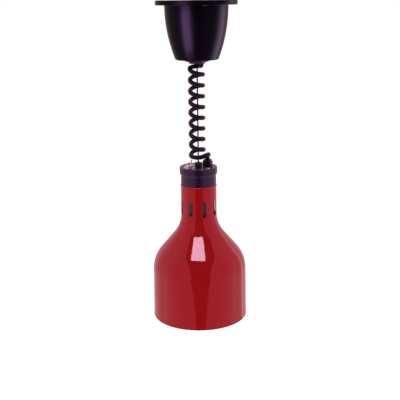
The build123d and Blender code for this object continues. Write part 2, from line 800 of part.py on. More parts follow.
def pole_places():
    """Return the y places of the terminal block's poles."""
    return [BLOCK_POLE_PITCH * (pole - (BLOCK_POLES - 1) / 2) for pole in range(BLOCK_POLES)]


def cord_cores():
    """Three cores from the cord's sheath into the terminal block."""
    block_low = PLATE_UNDER - BLOCK_DROP - BLOCK_H
    sheath_end = block_low - SHEATH_END_GAP
    with BuildPart() as cores:
        for y in pole_places():
            start = (CARRIER_X - CORD_R, CORE_SPREAD * y, sheath_end)
            with BuildLine():
                FilletPolyline(start, (start[0], start[1], sheath_end + CORE_STRAIGHT),
                               (CARRIER_X - BLOCK_DEPTH / 2, y, block_low - CORE_STRAIGHT),
                               (CARRIER_X - BLOCK_DEPTH / 2, y, block_low + CORE_IN_BLOCK),
                               radius=WIRE_BEND_R)
            with BuildSketch(Plane(origin=start, z_dir=(0, 0, 1))):
                Circle(WIRE_R)
            sweep()
    return cores


def wiring_carrier():
    """Angle of sheet steel that carries the terminal block and the cord clamp."""
    low = PLATE_UNDER - CARRIER_H
    foot_x = CARRIER_X + CARRIER_T - CARRIER_FOOT
    with BuildPart() as carrier:
        with BuildSketch(Plane.XZ):
            with BuildLine():
                Polyline((foot_x, PLATE_UNDER), (CARRIER_X + CARRIER_T, PLATE_UNDER),
                         (CARRIER_X + CARRIER_T, low), (CARRIER_X, low),
                         (CARRIER_X, PLATE_UNDER - CARRIER_T), (foot_x, PLATE_UNDER - CARRIER_T),
                         close=True)
            make_face()
        extrude(amount=CARRIER_W / 2, both=True)
        cut_holes(PLATE_UNDER - CARRIER_T, PLATE_UNDER, carrier_screw_places(), M3_R + FREE)
        with BuildSketch(Plane.YZ.offset(CARRIER_X)):
            with Locations(*clamp_screw_places()):
                Circle(M3_R + RUN)
        extrude(amount=CARRIER_T, mode=Mode.SUBTRACT)
    return carrier


def carrier_screws():
    """Two screws that hold the wiring carrier to the ceiling plate."""
    seat = Plane.XY.offset(PLATE_UNDER - CARRIER_T).rotated((180, 0, 0))
    with BuildPart() as screws:
        add_screws(seat, [(x, -y) for x, y in carrier_screw_places()],
                   M3_HEAD_R, M3_HEAD_H, M3_R, CARRIER_T + PLATE_T - BLIND_WALL - BLIND_GAP)
    return screws


def terminal_block():
    """Three-pole terminal block on the carrier."""
    low = PLATE_UNDER - BLOCK_DROP - BLOCK_H
    width = BLOCK_POLE_PITCH * BLOCK_POLES + 2 * BLOCK_WALL
    with BuildPart() as block:
        with BuildSketch(Plane.XY.offset(low)):
            with Locations((CARRIER_X - BLOCK_DEPTH / 2, 0)):
                RectangleRounded(BLOCK_DEPTH, width, BLOCK_CORNER_R)
                with Locations(*[(0, y) for y in pole_places()]):
                    Circle(WIRE_HOLE_R, mode=Mode.SUBTRACT)
        extrude(amount=BLOCK_H)
        with BuildSketch(Plane.YZ.offset(CARRIER_X - BLOCK_DEPTH)):
            with Locations(*terminal_screw_places()):
                Circle(TERMINAL_SCREW_R + RUN)
        extrude(amount=TERMINAL_SCREW_H, mode=Mode.SUBTRACT)
    return block


def terminal_screw_places():
    """Return the terminal screws' (y, z) places, one above and one below on each pole."""
    middle = PLATE_UNDER - BLOCK_DROP - BLOCK_H / 2
    return [(y, middle + side * BLOCK_H / 4) for y in pole_places() for side in (-1, 1)]


def terminal_screws():
    """Brass clamping screws of the terminal block."""
    with BuildPart() as screws:
        with BuildSketch(Plane.YZ.offset(CARRIER_X - BLOCK_DEPTH)):
            with Locations(*terminal_screw_places()):
                Circle(TERMINAL_SCREW_R)
        extrude(amount=TERMINAL_SCREW_H)
    return screws


def clamp_screw_places():
    """Return the cord clamp's screw places as (y, z)."""
    z = PLATE_UNDER - BLOCK_DROP - BLOCK_H - CLAMP_BELOW_BLOCK - CLAMP_H / 2
    return [(side * CLAMP_SCREW_SPACING / 2, z) for side in (-1, 1)]


def cord_clamp():
    """Saddle that holds the cord against the carrier."""
    low = clamp_screw_places()[0][1] - CLAMP_H / 2
    depth = CORD_D + CLAMP_WALL
    with BuildPart() as clamp:
        with BuildSketch(Plane.XY.offset(low)):
            with Locations((CARRIER_X - CLAMP_WALL / 2, 0)):
                Rectangle(CLAMP_WALL, CLAMP_W)
            with Locations((CARRIER_X - depth / 2, 0)):
                RectangleRounded(depth, CORD_D + 2 * CLAMP_WALL, CLAMP_CORNER_R)
            with Locations((CARRIER_X - CORD_R, 0)):
                Circle(CORD_R + RUN, mode=Mode.SUBTRACT)
            with Locations((CARRIER_X - CORD_R / 2, 0)):
                Rectangle(CORD_R + RUN, CORD_D + 2 * RUN, mode=Mode.SUBTRACT)
        extrude(amount=CLAMP_H)
        with BuildSketch(Plane.YZ.offset(CARRIER_X - CLAMP_WALL)):
            with Locations(*clamp_screw_places()):
                Circle(M3_R + FREE)
        extrude(amount=CLAMP_WALL, mode=Mode.SUBTRACT)
    return clamp


def clamp_screws():
    """Two screws of the cord clamp."""
    seat = Plane(origin=(CARRIER_X - CLAMP_WALL, 0, 0), x_dir=(0, -1, 0), z_dir=(-1, 0, 0))
    with BuildPart() as screws:
        add_screws(seat, [(-y, z) for y, z in clamp_screw_places()],
                   M3_HEAD_R, M3_HEAD_H, M3_R, CLAMP_WALL + CARRIER_T)
    return screws


# Cap and what stands on it


def cap():
    """Moulded cap with a stepped flange, hollow below, with two bosses for the long screws."""
    inner_r = CAP_R - CAP_WALL
    with BuildPart() as body:
        with BuildSketch(Plane.XZ):
            with BuildLine():
                Polyline((0, Z_CAP), (CAP_FLANGE_R, Z_CAP), (CAP_FLANGE_R, Z_CAP - CAP_FLANGE_H),
                         (CAP_R, Z_CAP - CAP_FLANGE_H - CAP_CHAMFER_H), (CAP_R, Z_SHADE),
                         (inner_r, Z_SHADE), (inner_r, Z_CAP_INSIDE), (0, Z_CAP_INSIDE), close=True)
            make_face()
        revolve(axis=Axis.Z)
        fillet(circle_edge(body, CAP_FLANGE_R, Z_CAP), CAP_EDGE_R)
        fillet(circle_edge(body, CAP_FLANGE_R, Z_CAP - CAP_FLANGE_H), CAP_EDGE_R)
        with BuildSketch(Plane.XY.offset(Z_SHADE)):
            with Locations(*opposite(CAP_SCREW_AT)):
                Circle(CAP_BOSS_R)
            Circle(CAP_R - CAP_WALL / 2, mode=Mode.INTERSECT)
        extrude(amount=Z_CAP_INSIDE - Z_SHADE)
        cut_holes(Z_SHADE, Z_CAP, opposite(CAP_SCREW_AT), M4_R + FREE)
        cut_holes(Z_CAP_INSIDE, Z_CAP, [(0, 0)], ANCHOR_SHANK_R + RUN)
        cut_holes(Z_CAP_INSIDE, Z_CAP, [GLAND_AT], GLAND_SHANK_R + RUN)
        cut_holes(Z_CAP_INSIDE, Z_CAP, [SWITCH_AT], SWITCH_BUSHING_R + RUN)
    return body


def cap_screws():
    """Two long screws through the cap and the shade's seat into the bridge."""
    with BuildPart() as screws:
        add_screws(Plane.XY.offset(Z_CAP), opposite(CAP_SCREW_AT),
                   M4_HEAD_R, M4_HEAD_H, M4_R, Z_CAP - Z_BRIDGE + BRIDGE_T + CAP_SCREW_PAST)
    return screws


def rope_anchor():
    """Black boss on the cap with a threaded shank, drilled for the rope."""
    with BuildPart() as anchor:
        add_tube(Z_CAP, Z_CAP + ANCHOR_H, (0, 0), ANCHOR_R, ROPE_R + FREE)
        fillet(circle_edge(anchor, ANCHOR_R, Z_CAP + ANCHOR_H), ANCHOR_EDGE_R)
        add_tube(Z_CAP_INSIDE - ANCHOR_SHANK_BELOW, Z_CAP, (0, 0), ANCHOR_SHANK_R, ROPE_R + FREE)
    return anchor


def anchor_nut():
    """Nut under the cap's top that holds the rope anchor."""
    with BuildPart() as nut:
        add_nut(Z_CAP_INSIDE - ANCHOR_NUT_H, (0, 0),
                ANCHOR_NUT_AF, ANCHOR_SHANK_R + RUN, ANCHOR_NUT_H)
    return nut


def rope_ferrule():
    """Crimped ferrule under the anchor that carries the lamp head's weight."""
    top = Z_CAP_INSIDE - ANCHOR_SHANK_BELOW
    with BuildPart() as ferrule:
        add_tube(top - FERRULE_H, top, (0, 0), FERRULE_R, ROPE_R + RUN)
    return ferrule


def rope_tail():
    """Rope inside the anchor and the ferrule."""
    low = Z_CAP_INSIDE - ANCHOR_SHANK_BELOW - FERRULE_H - ROPE_TAIL_PAST
    with BuildPart() as tail:
        with BuildSketch(Plane.XY.offset(low)):
            Circle(ROPE_R)
        extrude(amount=Z_CAP + ANCHOR_H - low)
    return tail


def gland_body():
    """Cord gland with a hexagon base, a shank through the cap and a sleeve for its dome nut."""
    bore_r = CORD_R + FREE
    sleeve_end = Z_CAP + GLAND_BASE_H + GLAND_SLEEVE_H
    with BuildPart() as gland:
        add_nut(Z_CAP, GLAND_AT, GLAND_AF, bore_r, GLAND_BASE_H)
        add_tube(Z_CAP, sleeve_end, GLAND_AT, GLAND_SLEEVE_R, bore_r)
        add_tube(Z_CAP_INSIDE - GLAND_SHANK_BELOW, Z_CAP, GLAND_AT, GLAND_SHANK_R, bore_r)
    return gland


def gland_nut():
    """Dome nut of the gland."""
    low = Z_CAP + GLAND_BASE_H
    with BuildPart() as nut:
        add_nut(low, GLAND_AT, GLAND_AF, CORD_R + FREE, GLAND_NUT_H - GLAND_DOME_H)
        with BuildSketch(Plane.XY.offset(Z_GLAND - GLAND_DOME_H)):
            with Locations(GLAND_AT):
                Circle(GLAND_AF / 2)
                Circle(CORD_R + FREE, mode=Mode.SUBTRACT)
        extrude(amount=GLAND_DOME_H)
        fillet(circle_edge(nut, GLAND_AF / 2, Z_GLAND), GLAND_DOME_R)
        cut_holes(low, low + GLAND_SLEEVE_H + RUN, [GLAND_AT], GLAND_SLEEVE_R + RUN)
    return nut


def gland_locknut():
    """Nut that holds the gland from inside the cap."""
    with BuildPart() as nut:
        add_nut(Z_CAP_INSIDE - GLAND_LOCKNUT_H, GLAND_AT,
                GLAND_LOCKNUT_AF, GLAND_SHANK_R + RUN, GLAND_LOCKNUT_H)
    return nut


def inner_cord():
    """Sheathed end of the cord inside the gland and the cap."""
    with BuildPart() as cord:
        with BuildSketch(Plane.XY.offset(Z_CAP_INSIDE - INNER_CORD_BELOW)):
            with Locations(GLAND_AT):
                Circle(CORD_R)
        extrude(amount=Z_GLAND - CORD_D - Z_CAP_INSIDE + INNER_CORD_BELOW)
    return cord


def holder_leads():
    """Three insulated leads: cord to switch, switch to lampholder and cord to lampholder."""
    sheath_end = Z_CAP_INSIDE - INNER_CORD_BELOW
    blade_top = Z_CAP_INSIDE - SWITCH_BODY[2] - 1
    nipple_top = Z_BRIDGE + NIPPLE_NUT_H + NIPPLE_PAST_NUT
    level = nipple_top + LEAD_LIFT
    low = Z_HOLDER - LEAD_PAST_BRIDGE
    way = NIPPLE_BORE_R - WIRE_R - FREE
    cord_x, cord_y = GLAND_AT
    switch_x, switch_y = SWITCH_AT
    reach = TERMINAL_SPACING / 2 + TERMINAL_BLADE[0] / 2 + WIRE_R + RUN
    apart = CORD_R / 2
    with BuildPart() as leads:
        for route in (
            [(cord_x, cord_y - apart, sheath_end), (cord_x, cord_y - apart, level),
             (way, 0, level), (way, 0, low)],
            [(switch_x + reach, switch_y, blade_top), (switch_x + reach, switch_y, level),
             (-way, 0, level), (-way, 0, low)],
            [(cord_x, cord_y + apart, sheath_end), (cord_x, cord_y + apart, level + LEAD_LIFT),
             (switch_x - reach, cord_y, level + LEAD_LIFT),
             (switch_x - reach, switch_y, level + LEAD_LIFT), (switch_x - reach, switch_y, blade_top)],
        ):
            with BuildLine():
                FilletPolyline(*route, radius=LEAD_BEND_R)
            with BuildSketch(Plane(origin=route[0], z_dir=(0, 0, -1))):
                Circle(WIRE_R)
            sweep()
    return leads


# Switch


def switch_body():
    """Moulded body of the toggle switch, under the cap's top."""
    width, depth, height = SWITCH_BODY
    with BuildPart() as body:
        with BuildSketch(Plane.XY.offset(Z_CAP_INSIDE - height)):
            with Locations(SWITCH_AT):
                RectangleRounded(width, depth, SWITCH_BODY_CORNER_R)
        extrude(amount=height)
        cut_holes(Z_CAP_INSIDE - SWITCH_WELL, Z_CAP_INSIDE, [SWITCH_AT], SWITCH_BUSHING_BORE_R)
    return body


def switch_bushing():
    """Chromed threaded bushing with a flared mouth for the lever."""
    top = Z_CAP + SWITCH_BUSHING_UP
    with BuildPart() as bushing:
        add_tube(Z_CAP_INSIDE, top, SWITCH_AT, SWITCH_BUSHING_R, SWITCH_BUSHING_BORE_R)
        chamfer(circle_edge(bushing, SWITCH_BUSHING_BORE_R, top), SWITCH_MOUTH_DEPTH)
    return bushing


def switch_plate():
    """Round dial plate under the switch nut."""
    with BuildPart() as plate:
        add_tube(Z_CAP, Z_CAP + SWITCH_PLATE_T, SWITCH_AT, SWITCH_PLATE_R, SWITCH_BUSHING_R + RUN)
    return plate


def switch_nut():
    """Hexagon nut on the switch's bushing."""
    with BuildPart() as nut:
        add_nut(Z_CAP + SWITCH_PLATE_T, SWITCH_AT,
                SWITCH_NUT_AF, SWITCH_BUSHING_R + RUN, SWITCH_NUT_H)
    return nut


def toggle_lever():
    """Bat-handle lever, leaning to the right as the switch stands in the photograph."""
    pivot = Vector(*SWITCH_AT, Z_CAP + LEVER_PIVOT_UP)
    upright = Plane(origin=pivot, x_dir=(cos(radians(LEVER_TILT)), 0, -sin(radians(LEVER_TILT))),
                    z_dir=(0, -1, 0))
    straight = LEVER_LENGTH - LEVER_TIP_R
    with BuildPart() as lever:
        with BuildSketch(upright):
            with BuildLine():
                Line((LEVER_NECK_R, 0), (LEVER_TIP_R, straight))
                CenterArc((0, straight), LEVER_TIP_R, 0, 90)
                Polyline((0, LEVER_LENGTH), (0, 0), (LEVER_NECK_R, 0))
            make_face()
        revolve(axis=Axis(pivot, upright.y_dir))
        with Locations(pivot):
            Sphere(LEVER_BALL_R)
    return lever


def switch_terminals():
    """Two brass blades under the switch."""
    thickness, width, length = TERMINAL_BLADE
    with BuildPart() as blades:
        with BuildSketch(Plane.XY.offset(Z_CAP_INSIDE - SWITCH_BODY[2] - length)):
            with Locations(SWITCH_AT):
                with GridLocations(TERMINAL_SPACING, 1, 2, 1):
                    Rectangle(thickness, width)
        extrude(amount=length)
    return blades


# Shade


def shade_outline(inset):
    """Draw the shade's outer side in profile, or a line inside it, and return its two ends."""
    angle = radians(SHOULDER_ANGLE)
    wall_top = Z_RIM + WALL_H
    shoulder = CenterArc((WALL_TOP_R - SHOULDER_ARC_R, wall_top), SHOULDER_ARC_R - inset,
                         0, SHOULDER_ANGLE)
    drop_x = WALL_TOP_R - SHOULDER_ARC_R * (1 - cos(angle))
    arc_x = NECK_R + NECK_ARC_R * (1 - cos(angle))
    slope_h = (drop_x - arc_x) / sin(angle) * cos(angle)
    neck_foot = wall_top + SHOULDER_ARC_R * sin(angle) + slope_h + NECK_ARC_R * sin(angle)
    throat = CenterArc((NECK_R + NECK_ARC_R, neck_foot), NECK_ARC_R + inset,
                       180 + SHOULDER_ANGLE, -SHOULDER_ANGLE)
    Line(shoulder @ 1, throat @ 0)
    rim = Line((RIM_R - inset, Z_RIM), shoulder @ 0) @ 0
    return rim, throat @ 1


def shade():
    """Spun shade with a shoulder, a slotted neck, beaded edges and a seat under the cap."""
    slot_low = Z_RIM + SLOT_CENTRE_H - SLOT_H / 2
    with BuildPart() as spun:
        with BuildSketch(Plane.XZ):
            with BuildLine():
                rim_out, neck_out = shade_outline(0)
                rim_in, neck_in = shade_outline(SHADE_T)
                Line(rim_out, rim_in)
                Polyline(neck_out, (NECK_R, Z_SHADE), (SEAT_BORE_R, Z_SHADE),
                         (SEAT_BORE_R, Z_SHADE - SHADE_T), (NECK_R - SHADE_T, Z_SHADE - SHADE_T),
                         neck_in)
            make_face()
            with Locations((RIM_R + RIM_BEAD_OUT - RIM_BEAD_R, Z_RIM + RIM_BEAD_R)):
                Circle(RIM_BEAD_R)
            with Locations((NECK_R + TOP_BEAD_OUT - TOP_BEAD_R, Z_SHADE - TOP_BEAD_R)):
                Circle(TOP_BEAD_R)
        revolve(axis=Axis.Z)
        for slot in range(SLOT_COUNT):
            turn = SLOT_TURN + slot * 360 / SLOT_COUNT
            outward = (sin(radians(turn)), -cos(radians(turn)), 0)
            middle = Plane(origin=(0, 0, slot_low + SLOT_H / 2),
                           x_dir=(cos(radians(turn)), sin(radians(turn)), 0), z_dir=outward)
            with BuildSketch(middle):
                SlotOverall(SLOT_H, SLOT_W, rotation=90)
            extrude(amount=NECK_R + SLOT_W, mode=Mode.SUBTRACT)
        cut_holes(Z_SHADE - SHADE_T, Z_SHADE, opposite(CAP_SCREW_AT), M4_R + FREE)
    return spun


def holder_bridge():
    """Steel strap that clamps the shade's seat to the cap and carries the lampholder."""
    turn = degrees(asin(CAP_SCREW_AT[1] / sqrt(CAP_SCREW_AT[0]**2 + CAP_SCREW_AT[1]**2)))
    end_r = NECK_R - SHADE_T - BRIDGE_FIT
    with BuildPart() as bridge:
        with BuildSketch(Plane.XY.offset(Z_HOLDER)):
            Rectangle(2 * end_r, BRIDGE_W, rotation=turn)
            Circle(end_r, mode=Mode.INTERSECT)
            Circle(NIPPLE_R + RUN, mode=Mode.SUBTRACT)
            with Locations(*opposite(CAP_SCREW_AT)):
                Circle(M4_R + RUN, mode=Mode.SUBTRACT)
        extrude(amount=BRIDGE_T)
    return bridge


def holder_nipple():
    """Hollow threaded nipple from the bridge into the lampholder."""
    with BuildPart() as nipple:
        add_tube(Z_HOLDER - NIPPLE_ENGAGE, Z_BRIDGE + NIPPLE_NUT_H + NIPPLE_PAST_NUT, (0, 0),
                 NIPPLE_R, NIPPLE_BORE_R)
    return nipple


def nipple_nut():
    """Nut on top of the bridge."""
    with BuildPart() as nut:
        add_nut(Z_BRIDGE, (0, 0), NIPPLE_NUT_AF, NIPPLE_R + RUN, NIPPLE_NUT_H)
    return nut


def lampholder():
    """Glazed ceramic lampholder with a deep socket."""
    low = Z_HOLDER - HOLDER_H
    socket_top = low + SOCKET_DEPTH
    with BuildPart() as holder:
        with BuildSketch(Plane.XZ):
            with BuildLine():
                Polyline((HOLDER_R, Z_HOLDER - HOLDER_SHOULDER_H), (HOLDER_R, low + HOLDER_RIM_H),
                         (HOLDER_R + HOLDER_RIM_W, low + HOLDER_RIM_H), (HOLDER_R + HOLDER_RIM_W, low),
                         (SOCKET_R, low), (SOCKET_R, socket_top), (WIRE_WAY_R, socket_top),
                         (WIRE_WAY_R, Z_HOLDER - NIPPLE_ENGAGE - RUN),
                         (NIPPLE_R + RUN, Z_HOLDER - NIPPLE_ENGAGE - RUN), (NIPPLE_R + RUN, Z_HOLDER),
                         (HOLDER_TOP_R, Z_HOLDER))
                TangentArc((HOLDER_R, Z_HOLDER - HOLDER_SHOULDER_H), (HOLDER_TOP_R, Z_HOLDER),
                           tangent=(0, 1))
            make_face()
        revolve(axis=Axis.Z)
    return holder


def holder_shell():
    """Threaded brass shell in the socket."""
    low = Z_HOLDER - HOLDER_H + SHELL_INSET
    outer_r = SOCKET_R - SHELL_FIT
    with BuildPart() as shell:
        add_tube(low, low + SHELL_H, (0, 0), outer_r, outer_r - SHELL_T)
    return shell


def holder_contact():
    """Centre contact in the socket, with its sprung tongue."""
    top = Z_HOLDER - HOLDER_H + SOCKET_DEPTH
    with BuildPart() as contact:
        add_tube(top - CONTACT_T, top, (0, 0), SOCKET_R - 2 * SHELL_FIT, WIRE_WAY_R)
        with BuildSketch(Plane.XY.offset(top - CONTACT_T)):
            Circle(CONTACT_R)
        extrude(amount=CONTACT_T / 2)
    return contact


# Bulb


def bulb_top():
    """Return the level of the bulb's contact tip, just under the socket's contact."""
    return Z_HOLDER - HOLDER_H + SOCKET_DEPTH - CONTACT_T


def cap_levels():
    """Return the levels of the bulb cap's top and bottom."""
    top = bulb_top() - BULB_TIP_H - BULB_INSULATOR_H
    return top, top - BULB_CAP_H


def bulb_cap():
    """Brass screw cap of the bulb."""
    top, low = cap_levels()
    with BuildPart() as brass:
        add_tube(low, top, (0, 0), BULB_CAP_R, BULB_CAP_R - BULB_CAP_T)
    return brass


def bulb_insulator():
    """Black glass insulator in the cap's end."""
    top, _ = cap_levels()
    with BuildPart() as insulator:
        with BuildSketch(Plane.XY.offset(top)):
            Circle(BULB_CAP_R)
        with BuildSketch(Plane.XY.offset(top + BULB_INSULATOR_H)):
            Circle(BULB_TIP_R)
        loft()
        with BuildSketch(Plane.XY.offset(top)):
            Circle(BULB_CAP_R - BULB_CAP_T - RUN)
        extrude(amount=-BULB_INSULATOR_H)
    return insulator


def bulb_tip():
    """Soldered centre contact of the bulb."""
    with BuildPart() as tip:
        with BuildSketch(Plane.XY.offset(bulb_top() - BULB_TIP_H)):
            Circle(BULB_TIP_R)
        extrude(amount=BULB_TIP_H)
        fillet(circle_edge(tip, BULB_TIP_R, bulb_top()), BULB_TIP_EDGE_R)
    return tip


def glass_outline(inset):
    """Draw the envelope's side in profile, or a line inside it, and return its two ends."""
    _, neck_top = cap_levels()
    neck_low = neck_top - BULB_NECK_H
    cone = radians(BULB_CONE_ANGLE)
    flare_end_x = BULB_NECK_R + BULB_FLARE_ARC_R * (1 - cos(cone))
    edge_x = BULB_R - BULB_EDGE_ARC_R
    cone_run = (edge_x + BULB_EDGE_ARC_R * cos(cone) - flare_end_x) / sin(cone)
    edge_z = neck_low - (BULB_FLARE_ARC_R + BULB_EDGE_ARC_R) * sin(cone) - cone_run * cos(cone)
    face_x_angle = degrees(acos(edge_x / (BULB_FACE_ARC_R - BULB_EDGE_ARC_R)))
    face_z = edge_z + (BULB_FACE_ARC_R - BULB_EDGE_ARC_R) * sin(radians(face_x_angle))
    flare = CenterArc((BULB_NECK_R + BULB_FLARE_ARC_R, neck_low), BULB_FLARE_ARC_R + inset,
                      180, BULB_CONE_ANGLE)
    edge = CenterArc((edge_x, edge_z), BULB_EDGE_ARC_R - inset,
                     BULB_CONE_ANGLE, -BULB_CONE_ANGLE - face_x_angle)
    face = CenterArc((0, face_z), BULB_FACE_ARC_R - inset, -face_x_angle, face_x_angle - 90)
    Line(flare @ 1, edge @ 0)
    sleeve_r = BULB_CAP_R - BULB_CAP_T - RUN - inset
    neck = Polyline((sleeve_r, neck_top + BULB_SLEEVE_H), (sleeve_r, neck_top),
                    (BULB_NECK_R - inset, neck_top - BULB_SHOULDER_H), flare @ 0)
    return neck @ 0, face @ 1


def bulb_glass():
    """Reflector envelope of the infrared bulb."""
    with BuildPart() as glass:
        with BuildSketch(Plane.XZ):
            with BuildLine():
                neck_out, face_out = glass_outline(0)
                neck_in, face_in = glass_outline(GLASS_T)
                Line(neck_out, neck_in)
                Line(face_out, face_in)
            make_face()
        revolve(axis=Axis.Z)
    return glass


def bulb_stem():
    """Pressed glass stem with two support posts for the filament."""
    _, cap_low = cap_levels()
    stem_end = cap_low - STEM_H
    ring_z = cap_low - FILAMENT_BELOW_CAP
    with BuildPart() as stem:
        with BuildSketch(Plane.XY.offset(cap_low)):
            Circle(BULB_CAP_R - BULB_CAP_T - GLASS_T - 2 * RUN)
        extrude(amount=BULB_SLEEVE_H)
        with BuildSketch(Plane.XY.offset(cap_low)):
            Circle(STEM_R)
        with BuildSketch(Plane.XY.offset(stem_end)):
            Rectangle(STEM_R, STEM_R / 2)
        loft()
        for side in (-1, 1):
            with BuildLine():
                FilletPolyline((side * POST_APART, 0, stem_end + POST_IN_STEM),
                               (side * POST_APART, 0, stem_end - POST_STRAIGHT),
                               (side * FILAMENT_RING_R, 0, ring_z + POST_END_H),
                               (side * FILAMENT_RING_R, 0, ring_z + FILAMENT_R), radius=POST_BEND_R)
            with BuildSketch(Plane.XY.offset(stem_end + POST_IN_STEM)):
                with Locations((side * POST_APART, 0)):
                    Circle(POST_R)
            sweep()
    return stem


def bulb_filament():
    """Tungsten filament, an open ring on the two posts."""
    _, cap_low = cap_levels()
    z = cap_low - FILAMENT_BELOW_CAP
    with BuildPart() as filament:
        with BuildLine():
            ring = CenterArc((0, 0, z), FILAMENT_RING_R, FILAMENT_GAP / 2 - 180, 360 - FILAMENT_GAP)
        with BuildSketch(Plane(origin=ring @ 0, z_dir=ring % 0)):
            Circle(FILAMENT_R)
        sweep()
    return filament


PIECES = [
    ceiling_plate, inlet_bush, canopy_cover, cover_screws, reel_bracket, bracket_screws, reel_axle,
    axle_clip, thrust_washers, rope_nozzle, nozzle_nut, wiring_carrier, carrier_screws,
    terminal_block, terminal_screws, cord_clamp, clamp_screws, cord_tail, cord_cores,
    rope_drum, spring_cover, mainspring, rope_winding, wire_rope, coil_cord,
    cap, cap_screws, rope_anchor, anchor_nut, rope_ferrule, rope_tail, gland_body, gland_nut,
    gland_locknut, inner_cord, holder_leads, switch_body, switch_bushing, switch_plate, switch_nut,
    switch_terminals, toggle_lever, shade, holder_bridge, holder_nipple, nipple_nut, lampholder,
    holder_shell, holder_contact, bulb_glass, bulb_cap, bulb_insulator, bulb_tip, bulb_stem,
    bulb_filament,
]

os.makedirs("parts", exist_ok=True)
for make_piece in PIECES:
    piece = make_piece()
    piece.part.label = make_piece.__name__
    export_step(piece.part, f"parts/{piece.part.label}.step")
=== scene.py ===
"""Looks of a rise-and-fall heat lamp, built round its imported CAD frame.

Metres, +Z up, the front of the lamp faces -Y and the ceiling is at z = 0.  Each sub-assembly is a
class with its sizes as fields: it builds the pieces that need more than the CAD solid shows, and
gives every CAD node of its own a finish.
"""

import logging
import math
from dataclasses import dataclass
from enum import Enum

import bmesh
import bpy
from mathutils import Matrix, Vector

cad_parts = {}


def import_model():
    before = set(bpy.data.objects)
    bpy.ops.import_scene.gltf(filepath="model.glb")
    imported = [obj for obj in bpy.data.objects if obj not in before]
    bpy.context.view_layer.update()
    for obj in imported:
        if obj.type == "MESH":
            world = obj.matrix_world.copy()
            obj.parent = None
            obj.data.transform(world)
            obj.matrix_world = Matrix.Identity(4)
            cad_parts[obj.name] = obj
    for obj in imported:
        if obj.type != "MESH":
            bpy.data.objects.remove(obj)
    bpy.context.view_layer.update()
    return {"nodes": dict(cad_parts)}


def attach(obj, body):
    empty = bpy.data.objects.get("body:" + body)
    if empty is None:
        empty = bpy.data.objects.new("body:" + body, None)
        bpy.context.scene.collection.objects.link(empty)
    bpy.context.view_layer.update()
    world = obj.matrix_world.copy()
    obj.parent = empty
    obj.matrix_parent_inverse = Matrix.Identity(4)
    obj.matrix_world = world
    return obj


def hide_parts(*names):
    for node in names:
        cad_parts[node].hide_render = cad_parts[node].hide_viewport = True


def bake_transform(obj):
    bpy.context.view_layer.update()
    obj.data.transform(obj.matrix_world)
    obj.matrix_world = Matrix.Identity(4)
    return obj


LOG = logging.getLogger("heat_lamp")
MM = 0.001
Point = tuple[float, float, float]
CAP_Z = -292.5  # the cap's top in mm
CAP_INSIDE_Z = -295.5  # the inside of the cap's top in mm
MATH = "ShaderNodeMath"
VECTOR_MATH = "ShaderNodeVectorMath"
RANGE = "ShaderNodeMapRange"


# Small helpers


def linear(hex_colour: str) -> tuple[float, float, float, float]:
    """Turn an sRGB hex colour into linear RGBA.

    Args:
        hex_colour: Six hex digits after a #.

    Returns:
        The colour as Blender's sockets take it.
    """
    parts = [int(hex_colour[i : i + 2], 16) / 255 for i in (1, 3, 5)]
    light = [c / 12.92 if c <= 0.04045 else ((c + 0.055) / 1.055) ** 2.4 for c in parts]
    return (*light, 1.0)


def add_node(tree: bpy.types.NodeTree, kind: str, inputs: dict | None = None, **settings) -> bpy.types.Node:
    """Add a node with its settings and links.

    Args:
        tree: The node tree that it goes in.
        kind: The node's type name.
        inputs: Socket name or number to a value, to the output socket that feeds it, or to the node
            whose first output does.
        **settings: Properties of the node itself.

    Returns:
        The new node.
    """
    node = tree.nodes.new(kind)
    for name, value in settings.items():
        setattr(node, name, value)
    for name, value in (inputs or {}).items():
        if isinstance(value, bpy.types.Node):
            value = value.outputs[0]
        if isinstance(value, bpy.types.NodeSocket):
            tree.links.new(value, node.inputs[name])
        else:
            node.inputs[name].default_value = value
    return node


def per_mm(size: float) -> float:
    """Return the noise scale that gives features of a size in millimetres."""
    return 1 / (size * MM)


def link_object(name: str, data: bpy.types.ID) -> bpy.types.Object:
    """Return a new object with this data, linked to the scene and sitting at the origin."""
    made = bpy.data.objects.new(name, data)
    bpy.context.scene.collection.objects.link(made)
    return made


def smooth(mesh: bpy.types.Mesh, sharp_deg: float) -> None:
    """Shade a mesh smooth, but for the edges that turn more than an angle."""
    mesh.shade_smooth()
    mesh.set_sharp_from_angle(angle=math.radians(sharp_deg))


def evaluated_mesh(shape: bpy.types.Object) -> bpy.types.Mesh:
    """Return an object's shape, with its modifiers or its section, as a new mesh."""
    bpy.context.view_layer.update()
    return bpy.data.meshes.new_from_object(shape.evaluated_get(bpy.context.evaluated_depsgraph_get()))


def to_object(name: str, bm: bmesh.types.BMesh, sharp_deg: float = 35.0) -> bpy.types.Object:
    """Turn a bmesh in place into a smooth-shaded object with sharp creases.

    Args:
        name: The piece's name.
        bm: The mesh, which is freed.
        sharp_deg: Edges that turn more than this stay sharp.

    Returns:
        The object, linked to the scene and sitting at the origin.
    """
    mesh = bpy.data.meshes.new(name)
    bm.to_mesh(mesh)
    bm.free()
    smooth(mesh, sharp_deg)
    return link_object(name, mesh)


